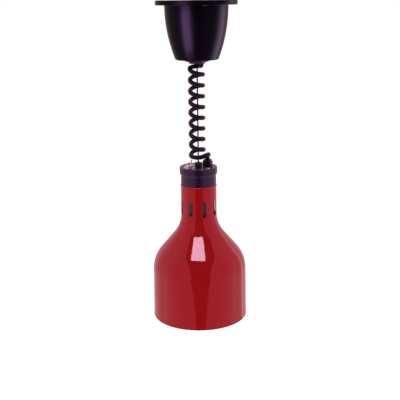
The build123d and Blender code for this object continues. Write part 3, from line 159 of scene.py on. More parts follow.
def turn_profile(bm: bmesh.types.BMesh, profile: list[tuple[float, float]], centre: Point = (0, 0, 0),
                 steps: int = 64) -> list[bmesh.types.BMVert]:
    """Spin a closed profile of (radius, height) points round an upright axis.

    Args:
        bm: The mesh that it is added to.
        profile: Points in metres, outline order; a radius of 0 lies on the axis.
        centre: The axis's foot, from which heights count.
        steps: Faces round the full turn.

    Returns:
        The vertices of the turned body.
    """
    foot = Vector(centre)
    known = set(bm.verts)
    start = [bm.verts.new(foot + Vector((r, 0, h))) for r, h in profile]
    edges = [bm.edges.new(pair) for pair in zip(start, start[1:] + start[:1])]
    on_axis = [e for e in edges if all((v.co - foot).xy.length < 1e-9 for v in e.verts)]
    edges = [e for e in edges if e not in on_axis]
    bmesh.ops.delete(bm, geom=on_axis, context="EDGES")
    bmesh.ops.spin(bm, geom=[*start, *edges], cent=foot, axis=(0, 0, 1), angle=2 * math.pi,
                   steps=steps, use_merge=True, use_duplicate=False)
    bmesh.ops.remove_doubles(bm, verts=[v for v in bm.verts if v not in known], dist=1e-7)
    made = [v for v in bm.verts if v not in known]
    bmesh.ops.recalc_face_normals(bm, faces=list({f for v in made for f in v.link_faces}))
    return made


def turn_thread(bm: bmesh.types.BMesh, ridge: list[tuple[float, float]], pitch: float, low: float,
                high: float, steps: int = 32) -> None:
    """Cut a rod with a helical thread from one level to another.

    Args:
        bm: An empty mesh that it is added to.
        ridge: One pitch of the thread as (radius, height) points, without its end point.
        pitch: The thread's rise in one turn.
        low: The level of its foot.
        high: The level of its end.
        steps: Faces round the full turn.
    """
    count = math.ceil((high - low) / pitch) + 1
    start = [bm.verts.new((r, 0, low + pitch * (turn - 1) + h)) for turn in range(count) for r, h in ridge]
    edges = [bm.edges.new(pair) for pair in zip(start, start[1:])]
    bmesh.ops.spin(bm, geom=[*start, *edges], cent=(0, 0, 0), axis=(0, 0, 1), angle=2 * math.pi,
                   dvec=(0, 0, pitch / steps), steps=steps, use_merge=False)
    bmesh.ops.remove_doubles(bm, verts=bm.verts, dist=1e-6)
    for level, side in ((low, -1), (high, 1)):
        bmesh.ops.bisect_plane(bm, geom=[*bm.verts, *bm.edges, *bm.faces], plane_co=(0, 0, level),
                               plane_no=(0, 0, side), clear_outer=True)
    bmesh.ops.holes_fill(bm, edges=[e for e in bm.edges if e.is_boundary])
    bmesh.ops.recalc_face_normals(bm, faces=bm.faces)


def carve(body: bpy.types.Object, tool: bpy.types.Object, operation: str = "DIFFERENCE",
          sharp_deg: float = 35.0) -> None:
    """Cut a tool out of a body, or keep only what they share, and remove the tool.

    Args:
        body: The piece, whose mesh is replaced.
        tool: The closed shape that cuts it.
        operation: The Boolean modifier's operation.
        sharp_deg: Edges that turn more than this stay sharp.
    """
    cut = body.modifiers.new("cut", "BOOLEAN")
    cut.operation, cut.solver, cut.object = operation, "EXACT", tool
    mesh = evaluated_mesh(body)
    body.modifiers.clear()
    before, body.data = body.data, mesh
    smooth(mesh, sharp_deg)
    bpy.data.meshes.remove(before)
    bpy.data.objects.remove(tool)


def gather(name: str, parts: list[tuple[bpy.types.Object, list[Matrix]]],
           sharp_deg: float = 35.0) -> bpy.types.Object:
    """Join copies of objects into one piece at the origin, and remove them.

    Args:
        name: The new piece's name.
        parts: Each object with the placements of its copies.
        sharp_deg: Edges that turn more than this stay sharp.

    Returns:
        The piece.
    """
    bm = bmesh.new()
    for part, places in parts:
        for place in places:
            known = set(bm.verts)
            bm.from_mesh(part.data)
            bmesh.ops.transform(bm, matrix=place, verts=[v for v in bm.verts if v not in known])
        bpy.data.objects.remove(part)
    return to_object(name, bm, sharp_deg)


def at(x: float, y: float, z: float, turn_deg: float = 0.0, down: bool = False) -> Matrix:
    """Return a placement in millimetres, turned about Z and upside down where asked."""
    flip = Matrix.Rotation(math.pi, 4, "X") if down else Matrix.Identity(4)
    return Matrix.Translation(Vector((x, y, z)) * MM) @ Matrix.Rotation(math.radians(turn_deg), 4, "Z") @ flip


def control_r(radius: float, count: int) -> float:
    """Return how far out a circle's control points lie, so that the spline keeps the circle's radius."""
    return radius * 2 / (1 + math.cos(math.pi / count) ** 2)


def mm(*profile: tuple[float, float]) -> list[tuple[float, float]]:
    """Turn a profile in millimetres into metres."""
    return [(r * MM, h * MM) for r, h in profile]


# Finishes


@dataclass(frozen=True)
class Finish:
    """A surface: what it is made of, how it was made, and what that gives the eye.

    Its fine grain lifts the surface, and clouds of cloud_times that size shift its colour and sheen.
    """

    name: str
    slot: str
    colour: str
    roughness: float = 0.4
    metallic: float = 0.0
    ior: float = 1.5
    grain_mm: float = 1.0
    bump_mm: float = 0.01
    shade_change: float = 0.08
    roughness_change: float = 0.08
    tint: str = "#ffffff"
    specular: float = 0.5
    coat: float = 0.0
    cloud_times: float = 18.0
    least_roughness: float = 0.02

    def surface(self, tree: bpy.types.NodeTree) -> tuple[bpy.types.Node, bpy.types.Node]:
        """Add the shared nodes of every finish.

        Args:
            tree: The material's node tree.

        Returns:
            The shader and the coordinates node.
        """
        place = add_node(tree, "ShaderNodeTexCoord")
        spots, clouds = (
            add_node(tree, "ShaderNodeTexNoise", {"Vector": place.outputs["Object"],
                     "Scale": per_mm(times * self.grain_mm), "Detail": detail})
            for times, detail in ((1, 3.0), (self.cloud_times, 2.0)))
        base = linear(self.colour)
        darker = tuple(c * (1 - self.shade_change) for c in base[:3]) + (1.0,)
        mix = add_node(tree, "ShaderNodeMix", {0: clouds, 6: base, 7: darker}, data_type="RGBA")
        sheen = add_node(tree, RANGE, {"Value": clouds,
                         "To Min": max(self.roughness - self.roughness_change / 2, self.least_roughness),
                         "To Max": self.roughness + self.roughness_change / 2})
        bump = add_node(tree, "ShaderNodeBump", {"Height": spots, "Strength": 1.0,
                        "Distance": self.bump_mm * MM})
        shader = add_node(tree, "ShaderNodeBsdfPrincipled", {
            "Base Color": mix.outputs[2], "Roughness": sheen, "Normal": bump,
            "Metallic": self.metallic, "Specular IOR Level": self.specular,
            "Specular Tint": linear(self.tint), "Coat Weight": self.coat})
        if not self.metallic:
            shader.inputs["IOR"].default_value = self.ior
        add_node(tree, "ShaderNodeOutputMaterial", {"Surface": shader})
        return shader, place

    @staticmethod
    def show_where(tree: bpy.types.NodeTree, share: bpy.types.Node, other: bpy.types.Node) -> None:
        """Show another shader in place of the one in use, where a share says so.

        Args:
            tree: The material's node tree.
            share: 1 where the other shader shows.
            other: The other shader.
        """
        shown = next(n for n in tree.nodes if n.type == "OUTPUT_MATERIAL").inputs["Surface"]
        mix = add_node(tree, "ShaderNodeMixShader", {0: share, 1: shown.links[0].from_socket, 2: other})
        tree.links.new(mix.outputs["Shader"], shown)

    def material(self) -> bpy.types.Material:
        """Return the Blender material of this finish, made on first use."""
        made = bpy.data.materials.get(self.name)
        if made is None:
            made = bpy.data.materials.new(self.name)
            made.use_nodes = True
            made.node_tree.nodes.clear()
            self.dress(made.node_tree)
        return made

    def dress(self, tree: bpy.types.NodeTree) -> None:
        """Fill the material's node tree."""
        self.surface(tree)

    def put_on(self, *pieces: bpy.types.Object) -> None:
        """Give pieces this finish in place of what they have."""
        for piece in pieces:
            piece.data.materials.clear()
            piece.data.materials.append(self.material())


@dataclass(frozen=True)
class SpunEnamel(Finish):
    """Enamel on a spun aluminium shell whose inside is left bare, with the rings of the spinning.

    A face counts as inside where its normal's outward share is under inward, or where it looks down
    within seat_depth of the seat under the cap.
    """

    # Bare spun aluminium, its colour darkened and tinted rose: painted shade and painted red reflection
    # inside the shade's neck.
    bare: str = "#97898d"
    bare_roughness: float = 0.38
    ring_mm: float = 1.4
    ring_depth_mm: float = 0.03
    inward: float = -0.2
    downward: float = -0.9
    seat_z: float = -0.3262
    seat_depth: float = 0.01

    def dress(self, tree: bpy.types.NodeTree) -> None:
        """Fill the material's node tree: enamel outside, bare metal where the normal points in."""
        _, place = self.surface(tree)
        spot = place.outputs["Object"]
        normal = add_node(tree, "ShaderNodeNewGeometry").outputs["Normal"]
        height, upward = (add_node(tree, "ShaderNodeSeparateXYZ", {"Vector": vector}).outputs["Z"]
                          for vector in (spot, normal))
        flat = add_node(tree, VECTOR_MATH, {0: spot, 1: (1, 1, 0)}, operation="MULTIPLY")
        radial = add_node(tree, VECTOR_MATH, {0: flat}, operation="NORMALIZE")
        outward = add_node(tree, VECTOR_MATH, {0: radial, 1: normal}, operation="DOT_PRODUCT")
        turned_in = add_node(tree, MATH, {0: outward.outputs["Value"], 1: self.inward}, operation="LESS_THAN")
        looks_down = add_node(tree, MATH, {0: upward, 1: self.downward}, operation="LESS_THAN")
        near_top = add_node(tree, MATH, {0: height, 1: self.seat_z - self.seat_depth},
                            operation="GREATER_THAN")
        seat = add_node(tree, MATH, {0: looks_down, 1: near_top}, operation="MULTIPLY")
        inside = add_node(tree, MATH, {0: turned_in, 1: seat}, operation="MAXIMUM")
        rings = add_node(tree, MATH, {0: height, 1: 2 * math.pi / (self.ring_mm * MM)}, operation="MULTIPLY")
        wave = add_node(tree, MATH, {0: rings}, operation="SINE")
        groove = add_node(tree, "ShaderNodeBump", {"Height": wave, "Strength": 0.5,
                          "Distance": self.ring_depth_mm * MM})
        metal = add_node(tree, "ShaderNodeBsdfPrincipled", {"Base Color": linear(self.bare),
                         "Metallic": 1.0, "Roughness": self.bare_roughness, "Normal": groove})
        self.show_where(tree, inside, metal)


@dataclass(frozen=True)
class ReflectorGlass(Finish):
    """Blown hard glass, mirrored inside down to its widest ring and satin below it."""

    mirror_z: float = -0.5055
    mirror: str = "#c6c8ca"
    mirror_roughness: float = 0.16
    mirror_coat: float = 0.6

    def dress(self, tree: bpy.types.NodeTree) -> None:
        """Fill the material's node tree: clear glass over a mirror on the cone."""
        glass, place = self.surface(tree)
        glass.inputs["Transmission Weight"].default_value = 1.0
        height = add_node(tree, "ShaderNodeSeparateXYZ", {"Vector": place.outputs["Object"]}).outputs["Z"]
        above = add_node(tree, MATH, {0: height, 1: self.mirror_z}, operation="GREATER_THAN")
        mirror = add_node(tree, "ShaderNodeBsdfPrincipled", {
            "Base Color": linear(self.mirror), "Metallic": 1.0, "Roughness": self.mirror_roughness,
            "Coat Weight": self.mirror_coat})
        self.show_where(tree, above, mirror)


class Finishes(Enum):
    """The finishes of this lamp, each named for the real material."""

    # Gloss enamel on spun aluminium: deep red, mirror-like, with a faint orange peel.
    RED_ENAMEL = SpunEnamel("gloss red enamel on spun aluminium", "red_enamel", "#9c1015",
                            roughness=0.07, grain_mm=2.2, bump_mm=0.004, shade_change=0.03,
                            roughness_change=0.03, tint="#ff6580", specular=0.9)
    # Gloss enamel on pressed steel: near black, with soft streaks of light.
    BLACK_ENAMEL = Finish("gloss black enamel on pressed steel", "black_enamel", "#07040a",
                          roughness=0.28, grain_mm=2.0, bump_mm=0.006, tint="#d2ace0", specular=0.05)
    # Moulded polyamide with a satin skin: black with a cold cast and a fine texture.
    BLACK_MOULDING = Finish("satin black moulded polyamide", "black_gloss", "#190a1d",
                            roughness=0.3, grain_mm=0.5, bump_mm=0.012, tint="#d8a0e4", specular=0.6)
    # Extruded rubber: black, half matt, softly uneven.
    CORD_RUBBER = Finish("black extruded rubber", "cord", "#1b0b20", roughness=0.4, grain_mm=0.6,
                         bump_mm=0.012, roughness_change=0.12, tint="#c088d0", specular=0.35)
    # Moulded rubber: flat black, with hardly any gleam.
    GROMMET_RUBBER = Finish("moulded black rubber", "black_rubber", "#17151a", roughness=0.6,
                            grain_mm=0.4, bump_mm=0.015)
    # Sheathed strand: black nylon over steel, a dull gleam along each strand.
    ROPE_SHEATH = Finish("black nylon over steel strand", "rope", "#0a050c", roughness=0.5,
                         grain_mm=0.4, bump_mm=0.01, tint="#c088d0", specular=0.25)
    # Nickel plate on brass, brushed before plating: a soft bright gleam without sharp images.
    NICKEL = Finish("satin nickel plate", "chrome", "#f0e2e6", roughness=0.32, metallic=1.0,
                    grain_mm=0.6, bump_mm=0.003, shade_change=0.06, roughness_change=0.08)
    # Zinc plate on steel: a cool grey gleam that shifts in soft clouds.
    ZINC = Finish("zinc-plated steel", "steel", "#a9abb0", roughness=0.33, metallic=1.0,
                  grain_mm=0.7, bump_mm=0.004, shade_change=0.16, roughness_change=0.14)
    # Steel blackened in a hot bath of salts: dark, with a low satin gleam.
    BLACKENED_STEEL = Finish("blackened steel", "steel", "#3a2f40", roughness=0.38, metallic=1.0,
                             grain_mm=0.5, bump_mm=0.004, shade_change=0.15)
    # Steel tempered blue: dark, cold, with bands of light along its turns.
    BLUED_STEEL = Finish("blued spring steel", "spring_steel", "#4a5264", roughness=0.28, metallic=1.0,
                         grain_mm=0.9, bump_mm=0.003, shade_change=0.25)
    # Drawn brass: warm yellow, a little dulled by handling.
    BRASS = Finish("drawn brass", "brass", "#c79f55", roughness=0.26, metallic=1.0, grain_mm=0.9,
                   bump_mm=0.003, shade_change=0.14, roughness_change=0.12)
    # Drawn tungsten: a dull grey thread.
    TUNGSTEN = Finish("tungsten wire", "tungsten", "#6b6a6c", roughness=0.45, metallic=1.0)
    # Undyed nylon: warm off-white, soft and slightly waxy.
    NYLON = Finish("natural moulded nylon", "white_nylon", "#dfddd2", roughness=0.42, grain_mm=0.6,
                   bump_mm=0.01)
    # Silicone rubber: cool white, half matt.
    SILICONE = Finish("white silicone insulation", "lead", "#cfd1d6", roughness=0.5, grain_mm=0.5,
                      bump_mm=0.01)
    # Glazed ceramic with a sharp gleam, its colour darkened and tinted dull rose: painted shade and painted
    # red light from inside the shade's neck.
    CERAMIC_IN_PAINTED_SHADE = Finish("glazed steatite ceramic in painted shade", "ceramic", "#8a5a64", roughness=0.2, grain_mm=1.2,
                     bump_mm=0.008, shade_change=0.06)
    # Black glass pressed into the bulb's cap: dark and glossy.
    VITRITE = Finish("black vitrite glass", "black_glass", "#14121a", roughness=0.12, grain_mm=1.0)
    # Blown glass over a vapour-coated mirror: clear below, bright grey above.
    HARD_GLASS = ReflectorGlass("hard glass with a mirrored back", "clear_glass", "#f2f5f6",
                                roughness=0.05, ior=1.47, grain_mm=6.0, bump_mm=0.004,
                                roughness_change=0.04)

    def put_on(self, *pieces: bpy.types.Object) -> None:
        """Give pieces this finish."""
        self.value.put_on(*pieces)


def settle(piece: bpy.types.Object, node: str, body: str, finish: Finishes) -> None:
    """Dress a piece and let it ride on a body in place of a CAD node.

    Args:
        piece: The piece.
        node: The CAD node that it replaces, alone or with others.
        body: The body that it rides on.
        finish: Its finish.
    """
    finish.put_on(piece)
    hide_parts(node)
    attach(piece, body)


# Sub-assemblies


@dataclass
class Route:
    """A line for a cord or rope: one NURBS spline through listed control points, given in mm."""

    name: str
    points: list[Point]
    fineness: int = 6

    def spline(self, radius: float, sides: int = 4) -> bpy.types.Object:
        """Return the route as a curve object with a round section, or a bare line at radius 0."""
        data = bpy.data.curves.new(self.name, "CURVE")
        data.dimensions = "3D"
        data.bevel_depth = radius
        data.bevel_resolution = sides
        data.resolution_u = self.fineness
        data.use_fill_caps = radius > 0
        line = data.splines.new("NURBS")
        line.points.add(len(self.points) - 1)
        for control, place in zip(line.points, self.points):
            control.co = (*(Vector(place) * MM), 1.0)
        line.order_u = 3
        line.use_endpoint_u = True
        return link_object(self.name, data)

    def mesh_of(self, curve: bpy.types.Object, name: str) -> bpy.types.Mesh:
        """Return a curve object's shape as a mesh, and remove the curve."""
        mesh = evaluated_mesh(curve)
        mesh.name = name
        bpy.data.objects.remove(curve)
        return mesh

    def line(self) -> list[Vector]:
        """Return the points of the spline itself, in order."""
        mesh = self.mesh_of(self.spline(0.0), self.name + "_line")
        points = [v.co.copy() for v in mesh.vertices]
        bpy.data.meshes.remove(mesh)
        return points

    def length(self) -> float:
        """Return the spline's length in metres."""
        line = self.line()
        return sum((b - a).length for a, b in zip(line, line[1:]))

    def tube(self, radius: float, sides: int = 4) -> bpy.types.Object:
        """Return the route as a smooth mesh tube."""
        mesh = self.mesh_of(self.spline(radius, sides), self.name)
        smooth(mesh, 60)
        return link_object(self.name, mesh)


@dataclass
class CurlyCord:
    """The cord that curls round the rope, from the nozzle to the gland on the cap.  Sizes in mm."""

    radius: float = 4.0
    curl_r: float = 11.4
    axis_x: float = -1.5
    droop: float = 2.0
    pitch: float = 19.2
    turns: int = 8
    points_per_turn: int = 16
    top_z: float = -117.4
    # Out of the nozzle and round to the first curl; off the last curl, over the arch, into the gland.
    lead_in: tuple[Point, ...] = ((7.4, -4.6, -99.9), (7.4, -4.6, -107.9), (7.4, -4.6, -111.6),
                                  (6.6, 11.4, -112.9), (-6.3, 11.4, -114.1), (-12.9, 4.4, -115.5))
    lead_out: tuple[Point, ...] = ((-12.9, -4.4, -273.0), (-6.3, -11.4, -273.9), (4.4, -11.4, -274.1),
                                   (15.3, -9.9, -269.9), (19.8, -0.5, -270.0), (16.8, 6.4, -274.6),
                                   (16.8, 6.4, -280.2), (16.8, 6.4, -288.2))

    def route(self) -> Route:
        """Return the cord's line: out of the nozzle, eight sagging turns, and the arch into the gland."""
        swell = control_r(self.curl_r, self.points_per_turn)
        points = list(self.lead_in)
        for step in range(self.turns * self.points_per_turn + 1):
            turn = math.pi + 2 * math.pi * step / self.points_per_turn
            height = self.top_z - self.pitch * step / self.points_per_turn + self.droop * math.sin(turn)
            points.append((self.axis_x + swell * math.cos(turn), swell * math.sin(turn), height))
        return Route("curly_cord", [*points, *self.lead_out])

    def build(self) -> None:
        """Make the cord as a mesh tube that stretches between the canopy and the lamp head."""
        route = self.route()
        line = route.line()
        cord = route.tube(self.radius * MM, 5)
        Finishes.CORD_RUBBER.put_on(cord)
        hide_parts("coil_cord")
        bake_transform(cord)
        round(route.length(), 3)
        LOG.info("curly cord: %.0f mm along its curls", route.length() / MM)


@dataclass
class Rope:
    """Sheathed wire rope: wound on the drum, hanging to the cap, and gripped below it.  Sizes in mm."""

    radius: float = 1.35
    strands: int = 6
    lay: float = 12.0
    sides: int = 6
    drum_x: float = -20.0
    drum_z: float = -44.0
    turn_r: float = 20.0
    wound_turns: int = 4
    wound_pitch: float = 2.75
    points_per_turn: int = 16
    hanging: tuple[Point, ...] = ((0, 0, -44.0), (0, 0, -120.0), (0, 0, -200.0), (0, 0, -284.5))
    gripped: tuple[Point, ...] = ((0, 0, -284.5), (0, 0, -299.0), (0, 0, -313.5))

    def lay_up(self, route: Route) -> bpy.types.Object:
        """Return the rope along a route as one mesh of twisted strands.

        Args:
            route: The rope's centre line.

        Returns:
            The rope's object.
        """
        line = route.line()
        strand_r = self.radius * MM / 3
        bm = bmesh.new()
        across = (line[1] - line[0]).orthogonal().normalized()
        before, travelled, frames = (line[1] - line[0]).normalized(), 0.0, []
        for i, place in enumerate(line):
            along = (line[min(i + 1, len(line) - 1)] - line[max(i - 1, 0)]).normalized()
            across = (before.rotation_difference(along) @ across).normalized()
            travelled += (place - line[i - 1]).length if i else 0.0
            frames.append((place, along, across, travelled))
            before = along
        for strand in range(self.strands):
            last = None
            for place, along, side, run in frames:
                turn = 2 * math.pi * (run / (self.lay * MM) + strand / self.strands)
                out = Matrix.Rotation(turn, 4, along) @ side
                # The ring's first vertex points outwards, so that neighbouring rings match.
                basis = Matrix((out, along.cross(out), along)).transposed().to_4x4()
                ring = bmesh.ops.create_circle(bm, segments=self.sides, radius=strand_r, matrix=(
                    Matrix.Translation(place + out * 2 * strand_r) @ basis))["verts"]
                if last:
                    loops = [e for v in (*ring, *last) for e in v.link_edges
                             if len(e.link_faces) < 2 and (e.verts[0] in ring) == (e.verts[1] in ring)]
                    bmesh.ops.bridge_loops(bm, edges=list(set(loops)))
                last = ring
        bmesh.ops.holes_fill(bm, edges=[e for e in bm.edges if e.is_boundary], sides=self.sides)
        bmesh.ops.recalc_face_normals(bm, faces=bm.faces)
        return to_object(route.name, bm, 60)

    def wound(self) -> Route:
        """Return the line of the turns on the drum, up to where the rope hangs free."""
        swell = control_r(self.turn_r, self.points_per_turn)
        steps = self.wound_turns * self.points_per_turn
        points = []
        for step in range(steps + 1):
            turn = 2 * math.pi * (step - steps) / self.points_per_turn
            points.append((self.drum_x + swell * math.cos(turn),
                           self.wound_pitch * (step - steps) / self.points_per_turn,
                           self.drum_z - swell * math.sin(turn)))
        points[-1] = (0.0, 0.0, self.drum_z)
        return Route("wound_rope", points, 4)

    def build(self) -> None:
        """Make the three runs of the rope."""
        settle(self.lay_up(self.wound()), "rope_winding", "drum", Finishes.ROPE_SHEATH)
        settle(self.lay_up(Route("gripped_rope", list(self.gripped), 12)), "rope_tail", "lamp_head",
               Finishes.ROPE_SHEATH)
        route = Route("hanging_rope", list(self.hanging), 60)
        line = route.line()
        free = self.lay_up(route)
        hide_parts("wire_rope")
        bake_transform(free)
        Finishes.ROPE_SHEATH.put_on(free)
        LOG.info("rope: %d turns wound, hanging run and gripped end", self.wound_turns)


@dataclass
class Wiring:
    """The cord's hidden ends and the leads in the cap, each along its own line.  Sizes in mm."""

    sheath_r: float = 4.0
    lead_r: float = 1.0
    tail: tuple[Point, ...] = ((7.4, -4.6, -99.9), (7.4, -4.6, -82.9), (36.5, 0, -65.5), (36.5, 0, -38))
    inner: tuple[Point, ...] = ((16.8, 6.4, -288.2), (16.8, 6.4, -296.0), (16.8, 6.4, -304.5))
    leads: tuple[tuple[Point, ...], ...] = (
        ((16.8, 4.4, -304.5), (16.8, 4.4, -318.4), (2.2, 0, -318.4), (2.2, 0, -331.6)),
        ((-9.05, -9, -310.5), (-9.05, -9, -318.4), (-2.2, 0, -318.4), (-2.2, 0, -331.6)),
        ((16.8, 8.4, -304.5), (16.8, 8.4, -315.2), (-20.95, 6.4, -315.2), (-20.95, -9, -315.2),
         (-20.95, -9, -310.5)))
    core_y: tuple[float, ...] = (-7.4, 0.0, 7.4)
    # A core's points as x, z and the share of its own y that it has reached.
    core: tuple[Point, ...] = ((36.5, -38.5, 0.3), (36.5, -35.5, 0.3), (34.5, -31.5, 1.0), (34.5, -27.0, 1.0))

    def run(self, name: str, points: tuple[Point, ...], radius: float, body: str,
            finish: Finishes, node: str) -> None:
        """Make one run of cord or lead in place of a CAD node.

        Args:
            name: The piece's name.
            points: Control points of its line.
            radius: Its radius.
            body: The body that it rides on.
            finish: Its finish.
            node: The CAD node that it replaces, alone or with others.
        """
        settle(Route(name, list(points), 10).tube(radius * MM, 3), node, body, finish)

    def build(self) -> None:
        """Make the tail with its cores in the canopy, and the sheath's end with three leads in the cap."""
        self.run("clamped_cord", self.tail, self.sheath_r, "canopy", Finishes.CORD_RUBBER, "cord_tail")
        for count, y in enumerate(self.core_y, 1):
            self.run(f"core_{count}", tuple((x, share * y, z) for x, z, share in self.core), self.lead_r,
                     "canopy", Finishes.SILICONE, "cord_cores")
        self.run("sheath_end", self.inner, self.sheath_r, "lamp_head", Finishes.CORD_RUBBER, "inner_cord")
        for count, points in enumerate(self.leads, 1):
            self.run(f"holder_lead_{count}", points, self.lead_r, "lamp_head", Finishes.SILICONE,
                     "holder_leads")
        LOG.info("wiring: cord tail, %d cores, sheath end, %d leads", len(self.core_y), len(self.leads))


@dataclass(frozen=True)
class PanScrew:
    """Machine screw with a domed head, a cross recess and a rolled thread.  Sizes in mm."""

    head_r: float = 3.9
    head_h: float = 2.4
    shank_r: float = 2.0
    pitch: float = 0.7
    recess_w: float = 0.9
    recess_depth: float = 1.2
    # The head's outline from its crown, as shares of its radius and its height.
    dome: tuple[tuple[float, float], ...] = (
        (0, 1), (0.35, 0.98), (0.62, 0.89), (0.82, 0.74), (0.94, 0.55), (1, 0.34), (1, 0.06),
        (0.97, 0), (0, 0))

    def fit(self, name: str, node: str, body: str, length: float, places: list[Matrix],
            finish: Finishes) -> None:
        """Put equal screws in place of a CAD node.

        Args:
            name: The piece's name.
            node: The CAD node that it replaces.
            body: The body that it rides on.
            length: The shank's length.
            places: A placement for each screw, whose head points up before it is placed.
            finish: Their finish.
        """
        r, h = self.head_r, self.head_h
        bm = bmesh.new()
        turn_profile(bm, mm(*((out * r, up * h) for out, up in self.dome)), steps=48)
        head = to_object(name + "_head", bm)
        for turn in (0, 90):
            bm = bmesh.new()
            bmesh.ops.create_cube(bm, size=1.0)
            bmesh.ops.scale(bm, vec=Vector((1.25 * r, self.recess_w, 2 * self.recess_depth)) * MM,
                            verts=bm.verts)
            foot = [v for v in bm.verts if v.co.z < 0]
            bmesh.ops.scale(bm, vec=(0.45, 0.6, 1), verts=foot)
            bmesh.ops.transform(bm, matrix=at(0, 0, h, turn), verts=bm.verts)
            carve(head, to_object("cross", bm))
        bm = bmesh.new()
        root = self.shank_r - 0.6 * self.pitch
        turn_thread(bm, mm((root, 0), (self.shank_r, 0.45 * self.pitch), (self.shank_r, 0.55 * self.pitch)),
                    self.pitch * MM, -length * MM, 0.0, 16)
        shank = to_object(name + "_shank", bm)
        settle(gather(name, [(head, places), (shank, places)]), node, body, finish)


@dataclass(frozen=True)
class HexNut:
    """Hexagon nut with its corners turned off at 30 degrees.  Sizes in mm."""

    across_flats: float
    height: float
    bore: float
    dome_h: float = 0.0
    dome_r: float = 0.0

    def shape(self, name: str) -> bpy.types.Object:
        """Return the nut standing on the origin, its corners on the X axis."""
        flat_r, corner_r = 0.48 * self.across_flats, self.across_flats / math.sqrt(3)
        fall = (corner_r - flat_r) * math.tan(math.radians(30))
        profile = [(self.bore, 0.0), (flat_r, 0.0), (corner_r, fall), (corner_r, self.height - fall)]
        if self.dome_h:
            top, edge = self.height + self.dome_h, self.across_flats / 2
            profile += [(edge, self.height)]
            profile += [(edge - self.dome_r * (1 - math.cos(a)), top - self.dome_r * (1 - math.sin(a)))
                        for a in (0.0, 0.4, 0.8, 1.2, math.pi / 2)]
            profile += [(self.bore + 0.5, top), (self.bore, top - 0.5)]
        else:
            profile += [(flat_r, self.height), (self.bore, self.height)]
        bm = bmesh.new()
        turn_profile(bm, mm(*profile), steps=60)
        nut = to_object(name, bm)
        bm = bmesh.new()
        bmesh.ops.create_cone(bm, cap_ends=True, segments=6, radius1=corner_r * MM, radius2=corner_r * MM,
                              depth=4 * (self.height + self.dome_h) * MM,
                              matrix=Matrix.Rotation(math.pi / 6, 4, "Z"))
        carve(nut, to_object("hexagon", bm), "INTERSECT", 20)
        return nut

    def fit(self, name: str, node: str, place: Matrix, finish: Finishes) -> None:
        """Put the nut on the lamp head in place of a CAD node."""
        settle(gather(name, [(self.shape(name + "_blank"), [place])], 20), node, "lamp_head", finish)


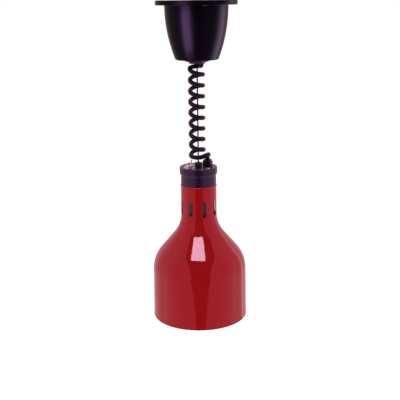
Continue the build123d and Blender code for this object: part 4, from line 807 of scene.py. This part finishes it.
@dataclass
class ToggleSwitch:
    """Toggle switch on the cap: its bat lever, threaded bushing, nut and marked plate.  Sizes in mm."""

    x: float = -15.0
    y: float = -9.0
    pivot_z: float = -290.9
    lean_deg: float = 13.0
    lever_length: float = 13.0
    ball_r: float = 2.4
    neck_r: float = 1.0
    tip_r: float = 1.6
    # The bat's outline above its neck: shares of its tip's radius, and heights over the pivot.
    bat_tip: tuple[tuple[float, float], ...] = (
        (0.82, 8.6), (0.96, 10.6), (1.0, 11.5), (0.92, 12.2), (0.7, 12.7), (0.38, 12.94))
    bushing_r: float = 5.9
    bushing_bore: float = 2.7
    bushing_up: float = 4.6
    bushing_pitch: float = 0.8
    plate_r: float = 10.4
    plate_t: float = 1.0
    letter_h: float = 2.3
    letter_t: float = 0.03
    word_turn: float = 30.0

    def turned(self, name: str, profile: list[tuple[float, float]], steps: int) -> bpy.types.Object:
        """Return a body turned round the switch's axis, from a closed profile in mm.

        Args:
            name: Its name.
            profile: Points as (radius, height), the height from the ceiling.
            steps: Faces round the full turn.

        Returns:
            The body.
        """
        bm = bmesh.new()
        turn_profile(bm, mm(*profile), (self.x * MM, self.y * MM, 0), steps)
        return to_object(name, bm)

    def lever(self) -> None:
        """Make the bat lever on its ball, leaning to the right."""
        ball = [(self.ball_r * math.cos(a), self.ball_r * math.sin(a))
                for a in (math.radians(d) for d in (-90, -70, -50, -30, -10, 10, 30, 50, 63))]
        ball[0] = (0.0, -self.ball_r)
        bat = [(self.neck_r, 3.4), (self.neck_r * 1.06, 5.5),
               *((self.tip_r * share, up) for share, up in self.bat_tip), (0.0, self.lever_length)]
        bm = bmesh.new()
        turn_profile(bm, mm(*ball, *bat), steps=40)
        lean = Matrix.Rotation(math.radians(self.lean_deg), 4, "Y")
        bmesh.ops.transform(bm, matrix=at(self.x, self.y, self.pivot_z) @ lean, verts=bm.verts)
        settle(to_object("bat_lever", bm), "toggle_lever", "lever", Finishes.NICKEL)

    def bushing(self) -> None:
        """Make the threaded bushing with its chamfered mouth."""
        bm = bmesh.new()
        top = CAP_Z + self.bushing_up
        turn_thread(bm, mm((self.bushing_r - 0.4, 0), (self.bushing_r, 0.35), (self.bushing_r, 0.45)),
                    self.bushing_pitch * MM, CAP_INSIDE_Z * MM, (top - 0.4) * MM, 48)
        bmesh.ops.translate(bm, verts=bm.verts, vec=Vector((self.x, self.y, 0)) * MM)
        thread = to_object("bushing_thread", bm)
        foot, bore, mouth, rim = CAP_INSIDE_Z - 1, self.bushing_bore, self.bushing_bore + 1.6, self.bushing_r
        carve(thread, self.turned("mouth", [(0, foot), (bore, foot), (bore, top - 2.0), (mouth, top - 0.4),
                                            (mouth, top + 1), (0, top + 1)], 48))
        lip = self.turned("lip", [(bore + 1.5, top - 0.5), (rim - 0.5, top - 0.5), (rim - 0.5, top - 0.2),
                                  (rim - 0.8, top), (bore + 1.8, top), (bore + 1.5, top - 0.3)], 48)
        settle(gather("threaded_bushing", [(thread, [Matrix()]), (lip, [Matrix()])]), "switch_bushing",
               "lamp_head", Finishes.NICKEL)

    def plate(self) -> None:
        """Make the round plate under the nut, with ON and OFF filled in black."""
        top = CAP_Z + self.plate_t
        r, hole = self.plate_r, self.bushing_r + 0.1
        plate = self.turned("marked_plate", [
            (hole, CAP_Z), (r - 0.2, CAP_Z), (r, CAP_Z + 0.2), (r, top - 0.35),
            (r - 0.1, top - 0.1), (r - 0.35, top), (hole, top)], 72)
        settle(plate, "switch_plate", "lamp_head", Finishes.NICKEL)
        words = []
        for word, turn in (("ON", self.word_turn), ("OFF", -self.word_turn)):
            data = bpy.data.curves.new(word, "FONT")
            data.body, data.size, data.extrude = word, self.letter_h * MM, self.letter_t * MM
            data.align_x = "CENTER"
            text = link_object(word, data)
            letters = link_object(word + "_letters", evaluated_mesh(text))
            bpy.data.objects.remove(text)
            place = at(self.x, self.y, top, turn) @ Matrix.Translation((0, -(r - 0.5) * MM, 0))
            words.append((letters, [place]))
        marks = gather("plate_marks", words)
        Finishes.BLACK_ENAMEL.put_on(marks)
        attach(marks, "lamp_head")

    def build(self) -> None:
        """Make the switch's four outer pieces."""
        self.lever()
        self.bushing()
        self.plate()
        HexNut(15.0, 2.2, 5.85).fit("switch_ring_nut", "switch_nut",
                                    at(self.x, self.y, CAP_Z + self.plate_t), Finishes.NICKEL)
        LOG.info("toggle switch: lever, bushing, nut and plate with its marks")


@dataclass
class Fittings:
    """Screws and nuts of the canopy and the cap, and the cord gland.  Sizes in mm."""

    cover_ring: float = 62.8
    cover_turn: float = 12.5
    cap_screw: tuple[float, float] = (17.0, -22.5)
    gland: tuple[float, float] = (16.8, 6.4)
    clamp_screw: Point = (39.0, 8.7, -49.5)

    def screws(self) -> None:
        """Fit the screws of the cover, the cap, the reel's bracket, the carrier and the clamp."""
        coarse, fine = PanScrew(), PanScrew(2.9, 1.8, 1.5, 0.5, 0.75, 0.9)
        turn = math.radians(self.cover_turn)
        x, y = self.cover_ring * math.sin(turn), -self.cover_ring * math.cos(turn)
        coarse.fit("cover_pan_screws", "cover_screws", "canopy", 7.2,
                   [at(x, y, -8.4, 20, True), at(-x, -y, -8.4, 65, True)], Finishes.BLACKENED_STEEL)
        x, y = self.cap_screw
        coarse.fit("cap_pan_screws", "cap_screws", "lamp_head", 37.1,
                   [at(x, y, CAP_Z, 35), at(-x, -y, CAP_Z, 10)], Finishes.ZINC)
        coarse.fit("bracket_pan_screws", "bracket_screws", "canopy", 4.0,
                   [at(-20 + side * 10, y, -5.0, 20 * side + y, True)
                    for y in (-23.0, 13.0) for side in (-1, 1)],
                   Finishes.ZINC)
        fine.fit("carrier_pan_screws", "carrier_screws", "canopy", 3.5,
                 [at(32.9, 7, -4.5, 12, True), at(32.9, -7, -4.5, 50, True)], Finishes.ZINC)
        x, y, z = self.clamp_screw
        sideways = Matrix.Rotation(-math.pi / 2, 4, "Y")
        fine.fit("clamp_pan_screws", "clamp_screws", "canopy", 3.0,
                 [at(x, y, z) @ sideways, at(x, -y, z) @ sideways], Finishes.ZINC)

    def nuts(self) -> None:
        """Fit the gland's dome nut and the plain nuts inside the cap and the shade."""
        gx, gy = self.gland
        for nut, name, node, place, finish in (
                (HexNut(16.0, 4.8, 4.3, 3.0, 2.6), "gland_dome_nut", "gland_nut",
                 at(gx, gy, CAP_Z + 4.5), Finishes.BLACK_MOULDING),
                (HexNut(15.0, 4.0, 6.1), "gland_ring_nut", "gland_locknut",
                 at(gx, gy, CAP_INSIDE_Z - 4), Finishes.BLACK_MOULDING),
                (HexNut(13.0, 5.0, 4.1), "anchor_ring_nut", "anchor_nut",
                 at(0, 0, CAP_INSIDE_Z - 5), Finishes.ZINC),
                (HexNut(14.0, 4.0, 5.1), "nipple_ring_nut", "nipple_nut", at(0, 0, -326.6), Finishes.ZINC)):
            nut.fit(name, node, place, finish)

    def build(self) -> None:
        """Fit everything."""
        self.screws()
        self.nuts()
        LOG.info("fittings: screws with cross recesses, chamfered nuts")


@dataclass
class Filament:
    """Coiled tungsten wire bent into an open ring.  Sizes in mm."""

    ring_r: float = 17.0
    level: float = -450.8
    coil_r: float = 0.48
    wire_r: float = 0.12
    coils: int = 100
    open_deg: float = 40.0

    def build(self) -> None:
        """Make the coiled wire along the ring."""
        steps, points = self.coils * 12, []
        for step in range(steps + 1):
            share = step / steps
            ring = math.radians(self.open_deg / 2 - 180 + (360 - self.open_deg) * share)
            coil = 2 * math.pi * self.coils * share
            r = self.ring_r + self.coil_r * math.cos(coil)
            points.append((r * math.cos(ring), r * math.sin(ring), self.level + self.coil_r * math.sin(coil)))
        settle(Route("coiled_filament", points, 1).tube(self.wire_r * MM, 1), "bulb_filament", "lamp_head",
               Finishes.TUNGSTEN)
        LOG.info("filament: %d coils", self.coils)


@dataclass
class Tent:
    """White tent that the lamp mirrors, open in front, with a window over the opening.

    The opening's half width is listed against the height of a direction, from straight down at -1
    to straight up at 1.
    """

    opening_x: float = 0.03
    opening: tuple[tuple[float, float], ...] = (
        (-0.42, 0.13), (-0.38, 0.2), (-0.355, 0.275), (-0.337, 0.345), (-0.28, 0.38), (0.0, 0.375),
        (0.25, 0.42), (0.55, 0.44), (0.7, 0.49), (0.8, 0.51), (0.87, 0.47), (1.0, 0.45))
    opening_depth: float = 0.97
    rear_level: float = 0.85
    rear_colour: str = "#ffdce6"
    strip_y: float = 0.62
    strip_glow: float = 1.0
    window_x: float = -0.05
    window_half: float = 0.265
    window_low: float = 0.82
    window_high: float = 0.925
    window_glow: float = 2.5
    room_level: float = 0.92
    # Where each soft edge starts and ends, or how wide it is.
    front_edge: tuple[float, float] = (-0.16, -0.12)
    rear_edge: tuple[float, float] = (0.05, 0.4)
    right_edge: tuple[float, float] = (0.5, 0.6)
    strip_edge: tuple[float, float] = (0.03, 0.05)
    opening_soft: float = 0.012
    window_side_soft: float = 0.01
    window_end_soft: float = 0.005

    def half_width(self, tree: bpy.types.NodeTree, height: bpy.types.NodeSocket) -> bpy.types.NodeSocket:
        """Add the curve that gives the opening's half width at a direction's height.

        Args:
            tree: The world's node tree.
            height: The direction's height.

        Returns:
            The half width.
        """
        share = add_node(tree, RANGE, {"Value": height, "From Min": -1.0})
        curve = add_node(tree, "ShaderNodeFloatCurve", {"Value": share})
        line = curve.mapping.curves[0]
        line.points[0].location = (0.0, self.opening[0][1])
        line.points[1].location = (1.0, self.opening[-1][1])
        for level, half in self.opening[:-1]:
            line.points.new((level + 1) / 2, half)
        curve.mapping.update()
        return curve.outputs["Value"]

    def build(self) -> None:
        """Make the world: the tent for gloss, plain white for the camera and through glass."""
        world = bpy.data.worlds.new("studio_tent")
        bpy.context.scene.world = world
        world.use_nodes = True
        tree = world.node_tree
        tree.nodes.clear()
        way = add_node(tree, "ShaderNodeTexCoord")
        axes = add_node(tree, "ShaderNodeSeparateXYZ", {"Vector": way.outputs["Generated"]})
        x, y, z = (axes.outputs[name] for name in "XYZ")
        from_opening, from_strip, from_window = (
            add_node(tree, MATH, {0: add_node(tree, MATH, {0: axis, 1: middle}, operation="SUBTRACT")},
                     operation="ABSOLUTE")
            for axis, middle in ((x, self.opening_x), (y, self.strip_y), (x, self.window_x)))
        beyond = add_node(tree, MATH, {0: from_opening, 1: self.half_width(tree, z)}, operation="SUBTRACT")
        # Each soft edge: what it is measured on, where it starts and ends, and the level before and after.
        half, low, high = self.window_half, self.window_low, self.window_high
        side_soft, end_soft = self.window_side_soft, self.window_end_soft
        front, gap_side, rear, strip, on_right, wide, foot, head, behind = (
            add_node(tree, RANGE, {"Value": value, "From Min": start, "From Max": end,
                     "To Min": before, "To Max": after}, interpolation_type="SMOOTHSTEP")
            for value, start, end, before, after in (
                (y, *self.front_edge, 1.0, 0.0),
                (beyond, 0.0, self.opening_soft, self.opening_depth, 0.0),
                (y, *self.rear_edge, 1.0, self.rear_level),
                (from_strip, *self.strip_edge, self.strip_glow, 0.0),
                (x, *self.right_edge, 0.0, 1.0),
                (from_window, half - side_soft, half + side_soft, 1.0, 0.0),
                (z, low - end_soft, low + end_soft, 0.0, 1.0),
                (z, high - end_soft, high + end_soft, 1.0, 0.0),
                (y, *self.rear_edge, 0.0, 1.0)))
        # The cloth, with the opening in front that is dark but for a little light from the room, and
        # with a brighter strip on the right, a little behind the lamp.
        gap = add_node(tree, MATH, {0: gap_side, 1: front}, operation="MULTIPLY")
        cloth = add_node(tree, MATH, {0: 1.0, 1: gap}, operation="SUBTRACT")
        dimmed = add_node(tree, MATH, {0: cloth, 1: rear}, operation="MULTIPLY")
        tent = add_node(tree, MATH, {0: strip, 1: on_right, 2: dimmed}, operation="MULTIPLY_ADD")
        # The window over the opening.
        tall = add_node(tree, MATH, {0: foot, 1: head}, operation="MULTIPLY")
        pane = add_node(tree, MATH, {0: wide, 1: tall}, operation="MULTIPLY")
        window = add_node(tree, MATH, {0: pane, 1: front}, operation="MULTIPLY")
        glossy = add_node(tree, MATH, {0: window, 1: self.window_glow, 2: tent}, operation="MULTIPLY_ADD")
        rosy = add_node(tree, "ShaderNodeMix", {0: behind, 6: (1, 1, 1, 1), 7: linear(self.rear_colour)},
                        data_type="RGBA")
        # The camera and rays through glass see plain white, and everything else a plain room.
        rays = add_node(tree, "ShaderNodeLightPath")
        shown = add_node(tree, MATH, {0: rays.outputs["Is Camera Ray"],
                         1: rays.outputs["Is Transmission Ray"]}, operation="MAXIMUM")
        unseen = add_node(tree, MATH, {0: 1.0, 1: shown}, operation="SUBTRACT")
        mirrored = add_node(tree, MATH, {0: rays.outputs["Is Glossy Ray"], 1: unseen}, operation="MULTIPLY")
        plain = add_node(tree, "ShaderNodeMix", {0: shown, 2: self.room_level, 3: 1.0}, data_type="FLOAT")
        strength = add_node(tree, "ShaderNodeMix", {0: mirrored, 2: plain, 3: glossy}, data_type="FLOAT")
        colour = add_node(tree, "ShaderNodeMix", {0: mirrored, 6: (1, 1, 1, 1), 7: rosy.outputs[2]},
                          data_type="RGBA")
        ground = add_node(tree, "ShaderNodeBackground", {"Color": colour.outputs[2], "Strength": strength})
        add_node(tree, "ShaderNodeOutputWorld", {"Surface": ground})


@dataclass
class Studio:
    """Floor, lamps and camera at the photograph's angle."""

    lens: float = 68.42
    pitch_deg: float = 14.965
    roll_deg: float = 0.72
    camera_at: Point = (2.2 * MM, -1350.0 * MM, 5.0 * MM)
    sensor: float = 36.0
    floor_z: float = -1.6
    floor_half: float = 6.0
    floor_white: float = 0.9
    floor_glow: float = 0.35

    def place_camera(self) -> None:
        """Put the camera where the photograph was taken from."""
        data = bpy.data.cameras.new("photo_camera")
        data.lens = self.lens
        data.sensor_width = self.sensor
        data.clip_start = 0.01
        camera = link_object("photo_camera", data)
        tilt = Matrix.Rotation(math.radians(90 - self.pitch_deg), 4, "X")
        roll = Matrix.Rotation(math.radians(-self.roll_deg), 4, "Z")
        camera.matrix_world = Matrix.Translation(self.camera_at) @ tilt @ roll
        bpy.context.scene.camera = camera

    def lay_floor(self) -> None:
        """Lay a plain pale floor well below the lamp, which mirrors see as the tent."""
        bm = bmesh.new()
        bmesh.ops.create_grid(bm, x_segments=1, y_segments=1, size=self.floor_half)
        bmesh.ops.translate(bm, verts=bm.verts, vec=(0, 0, self.floor_z))
        floor = to_object("floor", bm)
        paint = bpy.data.materials.new("pale matt floor")
        paint.use_nodes = True
        tree = paint.node_tree
        tree.nodes.clear()
        rays = add_node(tree, "ShaderNodeLightPath")
        matt = add_node(tree, "ShaderNodeBsdfDiffuse", {"Color": (*[self.floor_white] * 3, 1)})
        white = add_node(tree, "ShaderNodeEmission", {"Color": (1, 1, 1, 1), "Strength": self.floor_glow})
        both = add_node(tree, "ShaderNodeAddShader", {0: matt, 1: white})
        mix = add_node(tree, "ShaderNodeMixShader", {0: rays.outputs["Is Camera Ray"], 1: matt, 2: both})
        add_node(tree, "ShaderNodeOutputMaterial", {"Surface": mix})
        floor.data.materials.append(paint)
        floor.visible_glossy = False

    def hang_box(self, name: str, centre: Point, aim: Point, width: float, height: float,
                 power: float, colour: str, only: bpy.types.Object) -> None:
        """Hang a soft box that shines on one piece alone, and only as a gleam.

        Args:
            name: The lamp's name.
            centre: Where it hangs.
            aim: The point that it shines at.
            width: The box's width.
            height: The box's height.
            power: Its power in watts.
            colour: Its colour.
            only: The piece that it lights.
        """
        data = bpy.data.lights.new(name, "AREA")
        data.shape = "RECTANGLE"
        data.size, data.size_y = width, height
        data.energy = power
        data.color = linear(colour)[:3]
        lamp = link_object(name, data)
        look = (Vector(aim) - Vector(centre)).normalized()
        lamp.matrix_world = Matrix.Translation(centre) @ look.to_track_quat("-Z", "Y").to_matrix().to_4x4()
        lamp.visible_camera = False
        lamp.visible_diffuse = False
        lit = bpy.data.collections.new(name + "_lights")
        lit.objects.link(only)
        lamp.light_linking.receiver_collection = lit

    def build(self, canopy: bpy.types.Object, shade: bpy.types.Object) -> None:
        """Build the whole studio.

        Args:
            canopy: The cover that two soft boxes give its streaks.
            shade: The shade that the window is mirrored in.
        """
        Tent().build()
        self.place_camera()
        self.lay_floor()
        cover, shoulder = (0, 0, -0.06), (0, 0, -0.44)
        self.hang_box("left_box", (-0.37, -0.47, -0.25), cover, 0.34, 0.44, 17.0, "#f0d8ff", canopy)
        self.hang_box("right_box", (0.585, 0.135, -0.25), cover, 0.36, 0.5, 5.0, "#f0d8ff", canopy)
        self.hang_box("window", (-0.15, -1.44, 2.18), shoulder, 1.59, 0.668, 113.0, "#6cffe7", shade)
        LOG.info("studio: camera, floor, tent and three soft boxes")


# Which CAD nodes take which finish as they are.
CARRIED = {
    Finishes.BLACK_ENAMEL: ["canopy_cover"],
    Finishes.BLACK_MOULDING: ["cap", "rope_anchor", "gland_body", "rope_nozzle", "nozzle_nut", "switch_body"],
    Finishes.RED_ENAMEL: ["shade"],
    Finishes.ZINC: ["ceiling_plate", "reel_bracket", "reel_axle", "wiring_carrier",
                    "spring_cover", "holder_bridge", "holder_nipple"],
    Finishes.BLUED_STEEL: ["axle_clip", "mainspring"],
    Finishes.BRASS: ["rope_ferrule", "terminal_screws", "holder_shell", "holder_contact", "bulb_cap",
                     "bulb_tip", "switch_terminals"],
    Finishes.NYLON: ["rope_drum", "thrust_washers", "terminal_block", "cord_clamp"],
    Finishes.CERAMIC_IN_PAINTED_SHADE: ["lampholder"],
    Finishes.HARD_GLASS: ["bulb_glass", "bulb_stem"],
    Finishes.VITRITE: ["bulb_insulator"],
    Finishes.GROMMET_RUBBER: ["inlet_bush"],
}


def main() -> None:
    """Build the lamp's looks in order and report each sub-assembly."""
    logging.basicConfig(level=logging.INFO, format="%(name)s: %(message)s")
    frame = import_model()
    bpy.context.scene.view_settings.view_transform = "Standard"
    for finish, names in CARRIED.items():
        finish.put_on(*(frame["nodes"][name] for name in names))
    LOG.info("finishes on %d CAD nodes", sum(len(names) for names in CARRIED.values()))
    for assembly in (CurlyCord(), Rope(), Wiring(), ToggleSwitch(), Fittings(), Filament()):
        assembly.build()
    Studio().build(frame["nodes"]["canopy_cover"], frame["nodes"]["shade"])


if __name__ == "__main__":
    main()
